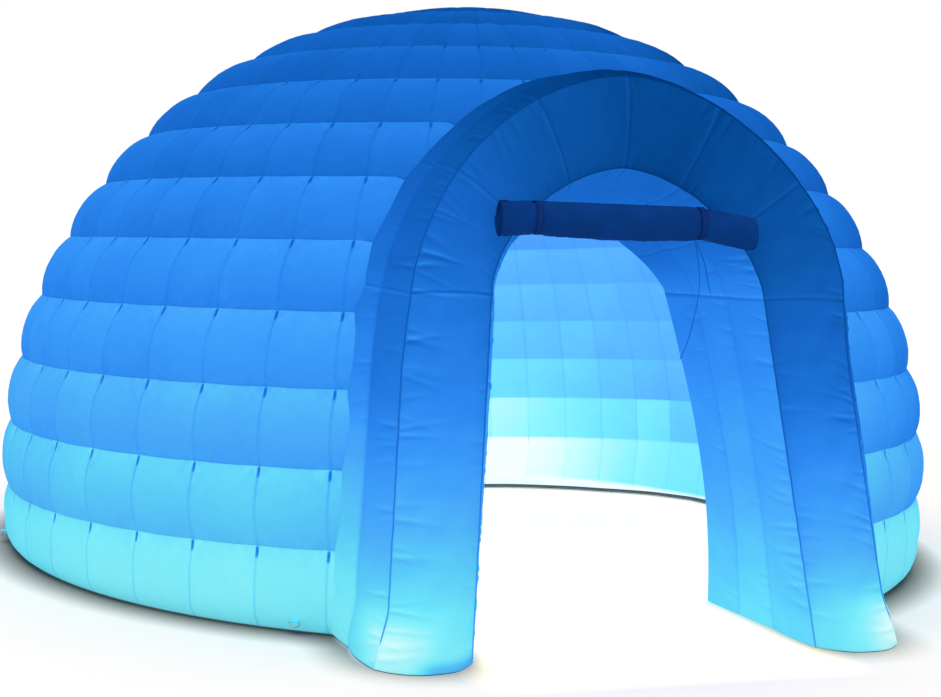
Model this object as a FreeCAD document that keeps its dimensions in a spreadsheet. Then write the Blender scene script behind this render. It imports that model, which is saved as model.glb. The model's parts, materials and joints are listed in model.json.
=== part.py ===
import FreeCAD, Part, Sketcher
import math
import os

from FreeCAD import Placement, Rotation, Vector

# Inflatable igloo shelter: a double-wall dome of sewn rows, a leaning entrance
# arch, a roll-up door, a light strip inside the wall and a blower in the back
# wall. Millimetres, +Z up. The entrance faces -Y and the origin is on the
# ground, in the middle of the footprint.

SIZES = [
    ("dome_radius", 2468, "sphere through the outer ring seams"),
    ("sphere_lift", 424, "height of the spheres' centre above the ground"),
    ("room_radius", 2000, "sphere of the inner skin's room side"),
    ("skin", 3, "fabric thickness, PU-coated cloth with its seam tape"),
    ("web", 2, "thickness of the inner webs"),
    ("puff", 32, "how far an outer row swells past its seams"),
    ("room_puff", 14, "how far an inner row swells into the room"),
    ("row_step", 7.8, "height of a row, in degrees seen from the centre"),
    ("row_count", 11, "rows between the ground and the crown panel"),
    ("column_count", 48, "columns in a full turn"),
    ("ground_gap", 4, "height of the fabric's lower edges, on the base panels"),
    ("seam_gap", 1, "gap at a sewn joint between two panels"),
    ("centre_shift", 114.6, "dome axis behind the middle of the footprint"),
    ("arch_front", 2666, "front face at the ground, ahead of the dome axis"),
    ("arch_lean", 13.4, "backward lean of the front face, in degrees"),
    ("spring", 1450, "height where the legs end and the crown begins"),
    ("door_foot", 775, "half width of the doorway at the ground"),
    ("door_half", 637, "half width of the doorway at the spring"),
    ("door_rise", 547, "crown of the doorway above the spring"),
    ("door_power", 1.7, "superellipse power of the doorway's crown"),
    ("arch_foot", 1150, "half width of the arch at the ground"),
    ("arch_half", 995, "half width of the arch at the spring"),
    ("arch_rise", 945, "crown of the arch above the spring"),
    ("arch_power", 2, "superellipse power of the arch's crown"),
    ("leg_swell", 85, "how far a leg's face swells forward at the ground"),
    ("spring_swell", 50, "the same at the spring"),
    ("crown_swell", 38, "the same at the top of the crown"),
    ("roll_length", 1165, "rolled door, end to end"),
    ("roll_middle", -25, "middle of the roll's length, across the doorway"),
    ("roll_height", 148, "rolled door, up the face"),
    ("roll_depth", 108, "rolled door, off the face"),
    ("roll_centre", 1770, "height of the roll's middle"),
    ("roll_stand", 96, "roll's middle off the front face"),
    ("batten_radius", 10, "rod in the door's hem"),
    ("batten_length", 1130, "length of that rod"),
    ("header_length", 1040, "strip that the door hangs from"),
    ("header_height", 46, "height of that strip"),
    ("header_thick", 3, "thickness of that strip"),
    ("header_stand", 39, "back of that strip off the front face"),
    ("header_level", 1818, "height of the strip's middle"),
    ("patch_width", 40, "tab that sews an end of the strip to the face"),
    ("tie_width", 25, "webbing of a tie"),
    ("tie_left", -446, "left tie, across the doorway"),
    ("tie_right", 290, "right tie, across the doorway"),
    ("tie_thick", 2.5, "thickness of that webbing"),
    ("tie_slack", 4, "tie off the roll"),
    ("cord_radius", 2.5, "tail of the right-hand tie"),
    ("blower_level", 150, "height of the blower's axis"),
    ("blower_middle", 2262, "blower's split plane behind the dome axis"),
    ("scroll_radius", 104, "blower scroll, outside"),
    ("scroll_half", 58, "depth of a scroll half"),
    ("scroll_wall", 3, "moulded wall of the blower"),
    ("inlet_radius", 56, "hole in the scroll's intake side"),
    ("outlet_reach", 168, "outlet's end beside the blower's axis"),
    ("outlet_height", 78, "outlet, outside"),
    ("wheel_radius", 78, "blower wheel"),
    ("wheel_width", 62, "blower wheel, along its axis"),
    ("blade_count", 24, "blades on the wheel"),
    ("shaft_radius", 5, "motor shaft"),
    ("motor_radius", 46, "motor can"),
    ("motor_length", 78, "motor can"),
    ("intake_radius", 66, "sleeve from the skin to the blower"),
    ("grille_radius", 92, "grille flange on the skin"),
    ("grille_thick", 5, "grille flange"),
    ("ring_half", 24, "middle of an anchor ring's bow"),
    ("wire", 2.5, "half the wire of an anchor ring"),
    ("anchor_level", 58, "height of an anchor ring's bar"),
    ("anchor_reach", 2500, "anchor ring's bar, from the dome axis"),
    ("zip_turn", 14, "length of a zip, in degrees round the dome"),
    ("zip_height", 34, "height of the zip's tape"),
    ("lamp_radius", 2230, "light strip in the wall, from the dome axis"),
    ("lamp_level", 5, "underside of that strip, just off the base panels"),
    ("lamp_width", 14, "light strip in its silicone sleeve"),
    ("lamp_thick", 6, "light strip in its silicone sleeve"),
]

JOINT_ANGLES = (0, 35, 62, 90, 118, 145, 180)  # cross seams round the arch's crown
FRONT = -90  # the entrance's direction, in degrees from +X
UP = Vector(0, 0, 1)
CENTRE = Vector(0, 0, 0)
BIG = 3200  # further out than any part of the shelter

doc = FreeCAD.newDocument("igloo_shelter")
sheet = doc.addObject("Spreadsheet::Sheet", "sizes")
for line, (alias, value, note) in enumerate(SIZES, start=1):
    sheet.set(f"A{line}", note)
    sheet.set(f"B{line}", str(value))
    sheet.setAlias(f"B{line}", alias)
doc.recompute()


def size(alias):
    return float(sheet.get(alias))


SHIFT = Vector(0, size("centre_shift"), 0)
LEAN = Rotation(Vector(1, 0, 0), -size("arch_lean"))
FACE = Placement(SHIFT + Vector(0, -size("arch_front"), 0), LEAN)
UPRIGHT = Placement(SHIFT, Rotation())
pieces = []


# ---- helpers -------------------------------------------------------------


def keep(piece, label, placement=UPRIGHT):
    """Names a finished sub-part and puts it in its place."""
    piece.Label = label
    piece.Placement = placement
    pieces.append(piece)
    return piece


def sewn(label, solids, placement=UPRIGHT):
    """A sub-part whose shape no feature makes, such as cut cloth."""
    feature = doc.addObject("Part::Feature", label)
    feature.Shape = Part.Compound(solids)
    return keep(feature, label, placement)


def primitive(kind, name, **sizes):
    """A Part primitive with its sizes bound to the sheet."""
    made = doc.addObject(f"Part::{kind}", name)
    for prop, formula in sizes.items():
        made.setExpression(prop, formula)
    return made


def new_body(label, placement):
    made = doc.addObject("PartDesign::Body", label)
    return keep(made, label, placement)


def sketch(body, plane, edges, offset=0.0):
    """A sketch on one of the body's own origin planes."""
    made = body.newObject("Sketcher::SketchObject", body.Label + "_sketch")
    support = next(o for o in body.Origin.OriginFeatures if o.Role == plane)
    made.AttachmentSupport = (support, [""])
    made.MapMode = "FlatFace"
    made.AttachmentOffset = Placement(Vector(0, 0, offset), Rotation())
    for edge in edges:
        made.addGeometry(edge, False)
    return made


def pad(body, profile, formula, reverse=False):
    made = body.newObject("PartDesign::Pad", body.Label + "_pad")
    made.Profile = profile
    made.setExpression("Length", formula)
    made.Reversed = reverse
    return made


def pocket(body, profile, formula, reverse=False):
    made = body.newObject("PartDesign::Pocket", body.Label + "_pocket")
    made.Profile = profile
    made.setExpression("Length", formula)
    made.Reversed = reverse
    return made


def polygon(points):
    """Closed line segments for a sketch."""
    corners = [Vector(x, y, 0) for x, y in points]
    ends = corners[1:] + corners[:1]
    return [Part.LineSegment(a, b) for a, b in zip(corners, ends)]


def circle(radius, x=0.0, y=0.0):
    return Part.Circle(Vector(x, y, 0), UP, radius)


# ---- dome ----------------------------------------------------------------


def on_sphere(radius, elevation):
    angle = math.radians(elevation)
    return Vector(
        radius * math.cos(angle), 0, size("sphere_lift") + radius * math.sin(angle)
    )


def ground_elevation(radius):
    """Where a sphere of this radius comes down to the base panels."""
    drop = size("ground_gap") - size("sphere_lift")
    return math.degrees(math.asin(drop / radius))


def seam_elevation(seam, radius):
    """Elevation of ring seam 0, at the ground, to row_count, at the crown."""
    if seam == 0:
        return ground_elevation(radius)
    return ground_elevation(size("dome_radius")) + seam * size("row_step")


def row_arc(radius, swell, low, high):
    middle = on_sphere(radius + swell, (low + high) / 2)
    return Part.Arc(on_sphere(radius, low), middle, on_sphere(radius, high)).toShape()


def belt_profile(radius, swell, thickness, first, last):
    """Cross-section of the rows between two ring seams."""
    trim = math.degrees(size("seam_gap") / 2 / radius)
    levels = [seam_elevation(k, radius) for k in range(first, last + 1)]
    if first:
        levels[0] += trim
    levels[-1] -= trim
    rows = list(zip(levels, levels[1:]))
    outside = [row_arc(radius, swell, a, b) for a, b in rows]
    inside = [row_arc(radius - thickness, swell, a, b) for a, b in rows]
    ends = [
        Part.makeLine(on_sphere(radius, e), on_sphere(radius - thickness, e))
        for e in (levels[0], levels[-1])
    ]
    loop = Part.__sortEdges__(outside + inside + ends)
    return Part.Face(Part.Wire(loop))


def turn_section(face, start, sweep):
    """Turns a section about the dome's axis."""
    placed = face.copy()
    placed.rotate(CENTRE, UP, start)
    return placed.revolve(CENTRE, UP, sweep)


def skin_belt(radius, swell, first, last, sectors, cutters):
    """The separate cloth sectors of one belt, less the doorway and holes."""
    section = belt_profile(radius, swell, size("skin"), first, last)
    sweep = 360 / sectors
    gap = math.degrees(size("seam_gap") / radius)
    found = []
    for k in range(sectors):
        start = FRONT + (k - 0.5) * sweep + gap / 2
        panel = turn_section(section, start, sweep - gap)
        for cutter in cutters:
            if panel.Solids and panel.BoundBox.intersect(cutter.BoundBox):
                panel = panel.cut(cutter)
        found += [s for s in panel.Solids if s.Volume > 1000]
    return found


def crown(radius, swell):
    """The round panel that closes a skin at the top."""
    edge = seam_elevation(int(size("row_count")), radius)
    edge += math.degrees(size("seam_gap") / 2 / radius)
    thick = size("skin")

    def cap(r):
        top = on_sphere(r + swell, 90)
        half = on_sphere(r + swell * 0.9, (edge + 90) / 2)
        return Part.Arc(on_sphere(r, edge), half, top).toShape(), top

    outer, outer_top = cap(radius)
    inner, inner_top = cap(radius - thick)
    axis = Part.makeLine(outer_top, inner_top)
    rim = Part.makeLine(on_sphere(radius, edge), on_sphere(radius - thick, edge))
    loop = Part.__sortEdges__([outer, axis, inner, rim])
    return Part.Face(Part.Wire(loop)).revolve(CENTRE, UP, 360)


# ---- entrance arch -------------------------------------------------------


def crown_point(half_width, rise, power, angle):
    turn = math.radians(angle)
    along, up = math.cos(turn), math.sin(turn)
    x = math.copysign(abs(along) ** (2 / power), along) * half_width
    return Vector(x, 0, size("spring") + abs(up) ** (2 / power) * rise)


def outline(name, grow=0.0, floor=None, stretch=1.0):
    """Edges of the doorway's or the arch's outline, right foot to left foot,
    in the XZ plane. Stretch lengthens it for a plane that leans."""
    foot = size(name + "_foot") + grow
    half = size(name + "_half") + grow
    rise = size(name + "_rise") + grow
    power = size(name + "_power")
    low = size("ground_gap") if floor is None else floor
    slope = (foot - half) / size("spring")

    def tall(point):
        return Vector(point.x, 0, point.z * stretch)

    spring = crown_point(half, rise, power, 0)
    left_spring = crown_point(half, rise, power, 180)
    right_foot = Vector(foot - slope * low, 0, low)
    left_foot = Vector(-right_foot.x, 0, low)
    edges = [Part.makeLine(tall(right_foot), tall(spring))]
    for a, b in zip(JOINT_ANGLES, JOINT_ANGLES[1:]):
        three = [crown_point(half, rise, power, t) for t in (a, (a + b) / 2, b)]
        edges.append(Part.Arc(*[tall(p) for p in three]).toShape())
    edges.append(Part.makeLine(tall(left_spring), tall(left_foot)))
    return edges


def passage(name, grow):
    """The solid that a passage of this outline takes out of the skins."""
    edges = outline(name, grow, floor=-20)
    close = Part.makeLine(edges[-1].lastVertex().Point, edges[0].firstVertex().Point)
    face = Part.Face(Part.Wire(edges + [close]))
    face.translate(Vector(0, -BIG, 0))
    return face.extrude(Vector(0, BIG - 700, 0))


def strips(inner, outer):
    """Faces between matching edges of two outlines."""
    found = []
    for a, b in zip(inner, outer):
        start = Part.makeLine(a.firstVertex(True).Point, b.firstVertex(True).Point)
        end = Part.makeLine(a.lastVertex(True).Point, b.lastVertex(True).Point)
        loop = Part.__sortEdges__([a, start, b, end])
        found.append(Part.Face(Part.Wire(loop)))
    return found


def run_back(face, keep_out):
    """A strip of the outline, from the leaning front face back to a skin."""
    face.translate(Vector(0, -BIG, 0))
    bar = face.extrude(Vector(0, BIG - 700, 0))
    start = size("skin") + 0.5
    behind = Part.makeBox(2 * BIG, BIG, 2 * BIG, Vector(-BIG, start, -BIG))
    behind.Placement = Placement(Vector(0, -size("arch_front"), 0), LEAN)
    return max(bar.common(behind).cut(keep_out).Solids, key=lambda s: s.Volume)


def bulk(radius, swell):
    """Everything inside a skin, with its rows' swell."""
    top = int(size("row_count"))
    levels = [seam_elevation(k, radius) for k in range(top + 1)]
    arcs = [row_arc(radius, swell, a, b) for a, b in zip(levels, levels[1:])]
    first = on_sphere(radius, levels[0])
    last = on_sphere(radius, levels[-1])
    low = Vector(0, 0, first.z)
    high = Vector(0, 0, last.z)
    lines = [
        Part.makeLine(last, high),
        Part.makeLine(high, low),
        Part.makeLine(low, first),
    ]
    loop = Part.__sortEdges__(arcs + lines)
    return Part.Face(Part.Wire(loop)).revolve(CENTRE, UP, 360)


# ---- the envelope --------------------------------------------------------


def make_skins():
    doorway = passage("door", size("skin") + size("seam_gap"))
    archway = passage("arch", size("seam_gap"))
    intake = Part.makeCylinder(
        size("intake_radius") + 2,
        600,
        Vector(0, size("blower_middle"), size("blower_level")),
        Vector(0, 1, 0),
    )
    outer, room = size("dome_radius"), size("room_radius") + size("skin")
    puff, dip = size("puff"), -size("room_puff")
    belts = (("lower", 0, 4, 12), ("middle", 4, 8, 12), ("upper", 8, 11, 6))
    for name, first, last, sectors in belts:
        cutters = [archway, intake]
        sewn(f"outer_skin_{name}", skin_belt(outer, puff, first, last, sectors, cutters))
        sewn(f"inner_skin_{name}", skin_belt(room, dip, first, last, sectors, [doorway]))
    sewn("outer_crown_panel", [crown(outer, 0)])
    sewn("inner_crown_panel", [crown(room, 0)])
    return archway


def make_webs(archway):
    """Webs between the skins: rings under each seam, and columns between them."""
    slack = size("skin") + 2
    low, high = size("room_radius") + slack, size("dome_radius") - slack
    rings = []
    for seam in range(1, int(size("row_count")) + 1):
        elevation = seam_elevation(seam, high)
        half = math.degrees(size("web") / 2 / low)
        corners = [
            on_sphere(low, elevation - half),
            on_sphere(high, elevation - half),
            on_sphere(high, elevation + half),
            on_sphere(low, elevation + half),
        ]
        section = Part.Face(Part.makePolygon(corners + corners[:1]))
        ring = section.revolve(CENTRE, UP, 360)
        if on_sphere(low, elevation).z < size("spring") + size("arch_rise") + 50:
            ring = max(ring.cut(archway).Solids, key=lambda s: s.Volume)
        rings.append(ring)
    sewn("ring_webs", rings)

    columns = []
    step = 360 / size("column_count")
    for column in range(int(size("column_count"))):
        turn = column * step
        for row in range(int(size("row_count"))):
            panel = column_web(low, high, row)
            panel.rotate(CENTRE, UP, FRONT + turn)
            if clear_of_arch(panel) and clear_of_blower(turn, row):
                columns.append(panel)
    sewn("column_webs", columns)


def column_web(low, high, row):
    """One flat web between two ring webs, in the XZ plane."""
    gap = 12
    corners = []
    for radius, seam, lift in (
        (low, row, gap),
        (high, row, gap),
        (high, row + 1, -gap),
        (low, row + 1, -gap),
    ):
        elevation = seam_elevation(seam, radius) + math.degrees(lift / radius)
        corners.append(on_sphere(radius, elevation))
    face = Part.Face(Part.makePolygon(corners + corners[:1]))
    face.translate(Vector(0, -size("web") / 2, 0))
    return face.extrude(Vector(0, size("web"), 0))


def clear_of_arch(panel):
    box = panel.BoundBox
    side = size("arch_foot") + 40
    crosses = box.XMin < side and box.XMax > -side and box.YMin < 0
    return not crosses or box.ZMin > size("spring") + size("arch_rise") + 40


def clear_of_blower(turn, row):
    return row > 0 or abs(turn - 180) > 8


def make_base(archway):
    """Base panels: flat, one under each column, and one under each arch leg."""
    thick = size("ground_gap") - 0.5
    low = on_sphere(size("room_radius"), ground_elevation(size("room_radius"))).x
    high = on_sphere(size("dome_radius"), ground_elevation(size("dome_radius"))).x
    step = 360 / size("column_count")
    panels = [foot_panel(-1), foot_panel(1)]
    for column in range(int(size("column_count"))):
        ends = [FRONT + column * step + 0.02, FRONT + (column + 1) * step - 0.02]
        corners = [polar(low, ends[0]), polar(high, ends[0])]
        corners += [polar(high, ends[1]), polar(low, ends[1])]
        face = Part.Face(Part.makePolygon(corners + corners[:1]))
        panel = face.extrude(Vector(0, 0, thick)).cut(archway)
        panels += [s for s in panel.Solids if s.Volume > 20000]
    sewn("base_panels", panels)


def polar(radius, angle):
    turn = math.radians(angle)
    return Vector(radius * math.cos(turn), radius * math.sin(turn), 0)


def foot_panel(hand):
    inner = size("door_foot") + size("skin") + 1
    outer = size("arch_foot") - size("skin") - 1
    back = 1740  # behind the dome's inner skin at this width
    corners = [
        Vector(hand * inner, -size("arch_front") + 2, 0),
        Vector(hand * outer, -size("arch_front") + 2, 0),
        Vector(hand * outer, -back, 0),
        Vector(hand * inner, -back, 0),
    ]
    face = Part.Face(Part.makePolygon(corners + corners[:1]))
    return face.extrude(Vector(0, 0, size("ground_gap") - 0.5))


PANEL_NAMES = (
    "leg_right",
    "haunch_right",
    "shoulder_right",
    "crown_right",
    "crown_left",
    "shoulder_left",
    "haunch_left",
    "leg_left",
)


def face_swell(height):
    """How far the arch's face stands forward at this height."""
    legs = [(0, size("leg_swell")), (size("spring"), size("spring_swell"))]
    top = (size("spring") + size("arch_rise"), size("crown_swell"))
    low, high = legs if height <= size("spring") else (legs[1], top)
    share = (height - low[0]) / (high[0] - low[0])
    return low[1] + share * (high[1] - low[1])


def crescent(inner, outer):
    """Section of a swollen face panel, from the doorway's edge to the arch's."""
    swell = Vector(0, -face_swell((inner.z + outer.z) / 2), 0)
    back = Vector(0, size("skin"), 0)
    middle = (inner + outer) / 2 + swell
    front = Part.Arc(inner, middle, outer).toShape()
    behind = Part.Arc(inner + back, middle + back, outer + back).toShape()
    sides = [Part.makeLine(inner, inner + back), Part.makeLine(outer, outer + back)]
    return Part.Wire(Part.__sortEdges__([front, behind] + sides))


def face_panel(inner, outer):
    """A swollen cloth shell between matching edges of two outlines."""
    trim = 0.002  # share of an edge left free at a cross seam
    shares = (trim, 1 - trim)
    if not isinstance(inner.Curve, Part.Line):
        shares = (trim, 0.25, 0.5, 0.75, 1 - trim)
    sections = []
    for share in shares:
        points = []
        for edge in (inner, outer):
            first, last = edge.FirstParameter, edge.LastParameter
            points.append(edge.valueAt(first + share * (last - first)))
        sections.append(crescent(*points))
    return Part.makeLoft(sections, True, False)


def make_arch():
    stretch = 1 / math.cos(math.radians(size("arch_lean")))
    inner = outline("door", 0, stretch=stretch)
    outer = outline("arch", 0, stretch=stretch)
    for name, a, b in zip(PANEL_NAMES, inner, outer):
        sewn(f"arch_face_{name}", [face_panel(a, b)], FACE)

    thick = size("skin")
    dome = bulk(size("dome_radius") + 1, size("puff"))
    room = bulk(size("room_radius"), -size("room_puff"))
    sides = [run_back(f, dome) for f in strips(outline("arch", -thick), outline("arch"))]
    lining = [run_back(f, room) for f in strips(outline("door"), outline("door", thick))]
    for name, found in (("side", sides), ("lining", lining)):
        sewn(f"arch_{name}_legs", [found[0], found[-1]])
        sewn(f"arch_{name}_crown", found[1:-1])
    make_arch_webs(bulk(size("room_radius") + thick + 4, 0))


def make_arch_webs(room):
    """Flat webs across the arch at its cross seams."""
    slack = size("skin") + 2
    half = size("web") / 2
    webs = []
    for edge_in, edge_out in zip(outline("door", slack), outline("arch", -slack)):
        a = edge_in.firstVertex(True).Point
        b = edge_out.firstVertex(True).Point
        if a.z < size("spring") - 1:
            continue
        across = (b - a).normalize().cross(Vector(0, 1, 0)) * half
        corners = [a - across, b - across, b + across, a + across]
        face = Part.Face(Part.makePolygon(corners + corners[:1]))
        webs.append(run_back(face, room))
    sewn("arch_webs", webs)


# ---- roll-up door --------------------------------------------------------


def on_face(x, stand, level):
    """A point ahead of the front face: x across, level above the ground."""
    lean = math.radians(size("arch_lean"))
    up = (level - stand * math.sin(lean)) / math.cos(lean)
    return FACE.multVec(Vector(x, -stand, up))


def on_face_place(x, stand, level, turn=Rotation()):
    return Placement(on_face(x, stand, level), LEAN.multiply(turn))


def make_door():
    across = size("roll_middle")
    length = size("header_length")
    stand = size("header_stand") + size("header_thick")
    header = primitive(
        "Box",
        "header",
        Length="sizes.header_length",
        Width="sizes.header_thick",
        Height="sizes.header_height",
    )
    low = size("header_level") - size("header_height") / 2
    keep(header, "door_header_strip", on_face_place(across - length / 2, stand, low))

    tabs = []
    for side in (-1, 1):
        tab = Part.makeBox(size("patch_width"), 3, size("header_height") + 20)
        edge = across + side * (length + size("patch_width") + 1) / 2
        corner = edge - size("patch_width") / 2
        tab.Placement = on_face_place(corner, stand, low - 10)
        tabs.append(tab)
    sewn("door_header_tabs", tabs, Placement())

    sideways = Rotation(Vector(0, 1, 0), 90)
    roll = oval_bar(size("roll_height"), size("roll_depth"), size("roll_length"))
    bore = Part.makeCylinder(size("batten_radius") + 0.3, size("roll_length") + 2)
    bore.translate(Vector(0, 0, -size("roll_length") / 2 - 1))
    middle = size("roll_centre")
    place = on_face_place(across, size("roll_stand"), middle, sideways)
    sewn("door_curtain_roll", [roll.cut(bore)], place)
    batten = primitive(
        "Cylinder",
        "batten",
        Radius="sizes.batten_radius",
        Height="sizes.batten_length",
    )
    start = across - size("batten_length") / 2
    keep(
        batten,
        "curtain_hem_batten",
        on_face_place(start, size("roll_stand"), middle, sideways),
    )
    loops = []
    for alias in ("tie_left", "tie_right"):
        loop = tie_loop()
        loop.Placement = on_face_place(size(alias), size("roll_stand"), middle, sideways)
        loops.append(loop)
    sewn("tie_straps", loops, Placement())


def tie_loop():
    """Webbing closed round the rolled door."""
    slack = 2 * size("tie_slack")
    outside = slack + 2 * size("tie_thick")
    height, depth = size("roll_height"), size("roll_depth")
    ring = oval_bar(height + outside, depth + outside, size("tie_width"))
    return ring.cut(oval_bar(height + slack, depth + slack, size("tie_width") + 2))


def oval_bar(height, depth, length):
    """An oval bar along Z, long side along X, with its middle at the origin."""
    long_side, short_side = max(height, depth) / 2, min(height, depth) / 2
    edge = Part.Ellipse(CENTRE, long_side, short_side).toShape()
    face = Part.Face(Part.Wire([edge]))
    face.translate(Vector(0, 0, -length / 2))
    return face.extrude(Vector(0, 0, length))


# The two tails of the right-hand tie, in the shelter's own frame. They hang from
# the back of the webbing, straight down behind the way the roll comes down.
LONG_TAIL = (
    (298, -2159, 1743),
    (306, -2148, 1712),
    (316, -2143, 1676),
    (325, -2145, 1632),
    (331, -2149, 1584),
    (337, -2150, 1534),
    (338, -2147, 1480),
    (334, -2143, 1426),
    (325, -2141, 1372),
    (313, -2144, 1320),
    (297, -2149, 1270),
    (279, -2152, 1224),
    (262, -2151, 1186),
)
SHORT_TAIL = (
    (284, -2159, 1743),
    (298, -2144, 1716),
    (318, -2132, 1688),
    (340, -2130, 1656),
    (358, -2134, 1618),
    (370, -2138, 1578),
    (379, -2138, 1538),
    (389, -2134, 1502),
    (401, -2131, 1472),
)


def cord_path(points):
    """Straight runs joined by tangent arcs, each as large as its runs allow."""
    corners = [Vector(*p) for p in points]
    edges = []
    start = corners[0]
    radii = []
    length = 0.0
    for before, corner, after in zip(corners, corners[1:], corners[2:]):
        back = (before - corner).normalize()
        ahead = (after - corner).normalize()
        cut = 0.45 * min((before - corner).Length, (after - corner).Length)
        bend = math.pi - back.getAngle(ahead)
        radius = cut / math.tan(bend / 2)
        radii.append(round(radius))
        first, last = corner + back * cut, corner + ahead * cut
        inward = (back + ahead).normalize()
        to_centre = radius / math.cos(bend / 2)
        middle = corner + inward * (to_centre - radius)
        edges.append(Part.LineSegment(start, first).toShape())
        edges.append(Part.Arc(first, middle, last).toShape())
        length += (first - start).Length + radius * bend
        start = last
    edges.append(Part.LineSegment(start, corners[-1]).toShape())
    length += (corners[-1] - start).Length
    return Part.Wire(edges), length, radii


def make_tails():
    for label, points in (("tie_cord_long", LONG_TAIL), ("tie_cord_short", SHORT_TAIL)):
        path, length, radii = cord_path(points)
        first = path.OrderedEdges[0]
        heading = first.tangentAt(first.FirstParameter)
        ring = Part.Circle(Vector(*points[0]), heading, size("cord_radius")).toShape()
        tube = path.makePipeShell([Part.Wire([ring])], True, False)
        share = tube.Volume / (math.pi * size("cord_radius") ** 2 * length)
        print(label, "length", round(length), "radii", radii, "volume", round(share, 4))
        sewn(label, [tube], Placement())


# ---- blower in the back wall ---------------------------------------------

PIN_OUT = 6  # flap's pin, past the outlet's end
PIN_UP = 4  # and above its top
EAR_INSIDE = 47  # inner faces of the two lugs, from the split plane
EAR_WIDTH = 6
BLADE = ((58, -1.2), (77, 6.8), (77, 9.2), (58, 1.2))  # section of a wheel's blade
GRILLE_RINGS = (20, 35, 50)  # middles of the grille's rings
BAR = 2  # half the width of the grille's rings and bars
RAIL_MIDDLE = 55  # a rail's middle, beside the blower's axis
CLIP_TURNS = (110, 200, 270)  # round the scroll, in degrees


def blower_place(along, turn=0):
    """Blower frame: +Z of a piece points out through the back wall."""
    outward = Rotation(Vector(1, 0, 0), -90)
    spin = Rotation(UP, turn)
    place = Vector(0, size("blower_middle") + along, size("blower_level"))
    return Placement(SHIFT + place, outward.multiply(spin))


def scroll_edges(wall):
    """Round scroll with a straight outlet, seen from behind the shelter."""
    radius = size("scroll_radius") - wall
    reach = size("outlet_reach")
    low = size("outlet_height") - size("scroll_radius") - wall
    side = math.sqrt(radius**2 - low**2)
    turn = math.atan2(low, side)
    arc = Part.ArcOfCircle(circle(radius), turn, 1.5 * math.pi)
    return [
        arc,
        Part.LineSegment(Vector(0, -radius, 0), Vector(reach, -radius, 0)),
        Part.LineSegment(Vector(reach, -radius, 0), Vector(reach, low, 0)),
        Part.LineSegment(Vector(reach, low, 0), Vector(side, low, 0)),
    ]


def hinge_ear():
    """Lug on the outlet's top edge, with the hole for the flap's pin."""
    reach, top = size("outlet_reach"), -size("scroll_radius")
    corners = [(-14, 1), (12, 1), (12, -9), (-14, -9)]
    edges = polygon([(reach + x, top + y) for x, y in corners])
    return edges + [circle(1.55, reach + PIN_OUT, top - PIN_UP)]


def make_blower():
    wall = size("scroll_wall")
    for label, flip in (("intake", False), ("motor", True)):
        hand = -1 if flip else 1
        half = new_body(f"blower_housing_{label}_half", blower_place(0.1 * hand))
        pad(half, sketch(half, "XY_Plane", scroll_edges(0)), "sizes.scroll_half", flip)
        inner = sketch(half, "XY_Plane", scroll_edges(wall))
        pocket(half, inner, "sizes.scroll_half - sizes.scroll_wall", not flip)
        radius = size("shaft_radius") + 1 if flip else size("inlet_radius")
        through = sketch(half, "XY_Plane", [circle(radius)])
        pocket(half, through, "sizes.scroll_half + 1", not flip)
        ear = sketch(half, "XY_Plane", hinge_ear(), hand * EAR_INSIDE)
        pad(half, ear, f"{EAR_WIDTH} mm", flip)

    wheel = new_body("blower_wheel", blower_place(-size("wheel_width") / 2))
    disc = sketch(wheel, "XY_Plane", [circle(size("wheel_radius"))])
    pad(wheel, disc, "sizes.scroll_wall")
    blade = polygon(BLADE)
    first = pad(wheel, sketch(wheel, "XY_Plane", blade), "sizes.wheel_width")
    doc.recompute()
    pattern = wheel.newObject("PartDesign::PolarPattern", "blades")
    pattern.Originals = [first]
    axis = next(o for o in wheel.Origin.OriginFeatures if o.Role == "Z_Axis")
    pattern.Axis = (axis, [""])
    pattern.Angle = 360
    pattern.setExpression("Occurrences", "sizes.blade_count")
    wheel.Tip = pattern
    rim_edges = [circle(size("wheel_radius")), circle(size("wheel_radius") - 6)]
    rim = sketch(wheel, "XY_Plane", rim_edges, size("wheel_width") - 4)
    pad(wheel, rim, "4 mm")
    hub = sketch(wheel, "XY_Plane", [circle(14)])
    pad(wheel, hub, "22 mm")
    bore = sketch(wheel, "XY_Plane", [circle(size("shaft_radius"))])
    pocket(wheel, bore, "40 mm", True)

    shaft = primitive(
        "Cylinder", "shaft", Radius="sizes.shaft_radius", Height="sizes.motor_length - 8"
    )
    keep(shaft, "motor_shaft", blower_place(-size("wheel_width") / 2 + 20 - 70))

    back = -size("scroll_half") - 0.6
    can = new_body("motor_can", blower_place(back - size("motor_length")))
    disc = sketch(can, "XY_Plane", [circle(size("motor_radius"))])
    pad(can, disc, "sizes.motor_length")
    seat = sketch(can, "XY_Plane", [circle(11)], size("motor_length"))
    pocket(can, seat, "sizes.motor_length - 20")

    bearing = new_body("motor_bearing", blower_place(back - 12))
    ring = sketch(bearing, "XY_Plane", [circle(10.9), circle(size("shaft_radius") + 0.05)])
    pad(bearing, ring, "8 mm")

    sleeve_start = size("scroll_half") + 0.6
    sleeve = new_body("intake_sleeve", blower_place(sleeve_start))
    rings = [circle(size("intake_radius")), circle(size("intake_radius") - size("skin"))]
    pad(sleeve, sketch(sleeve, "XY_Plane", rings), "190 mm")

    clamp = new_body("intake_clamp_band", blower_place(sleeve_start + 150))
    inside = size("intake_radius") + 0.3
    pad(clamp, sketch(clamp, "XY_Plane", [circle(inside + 1.2), circle(inside)]), "12 mm")

    make_grille()
    make_outlet()
    make_feet()


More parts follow.
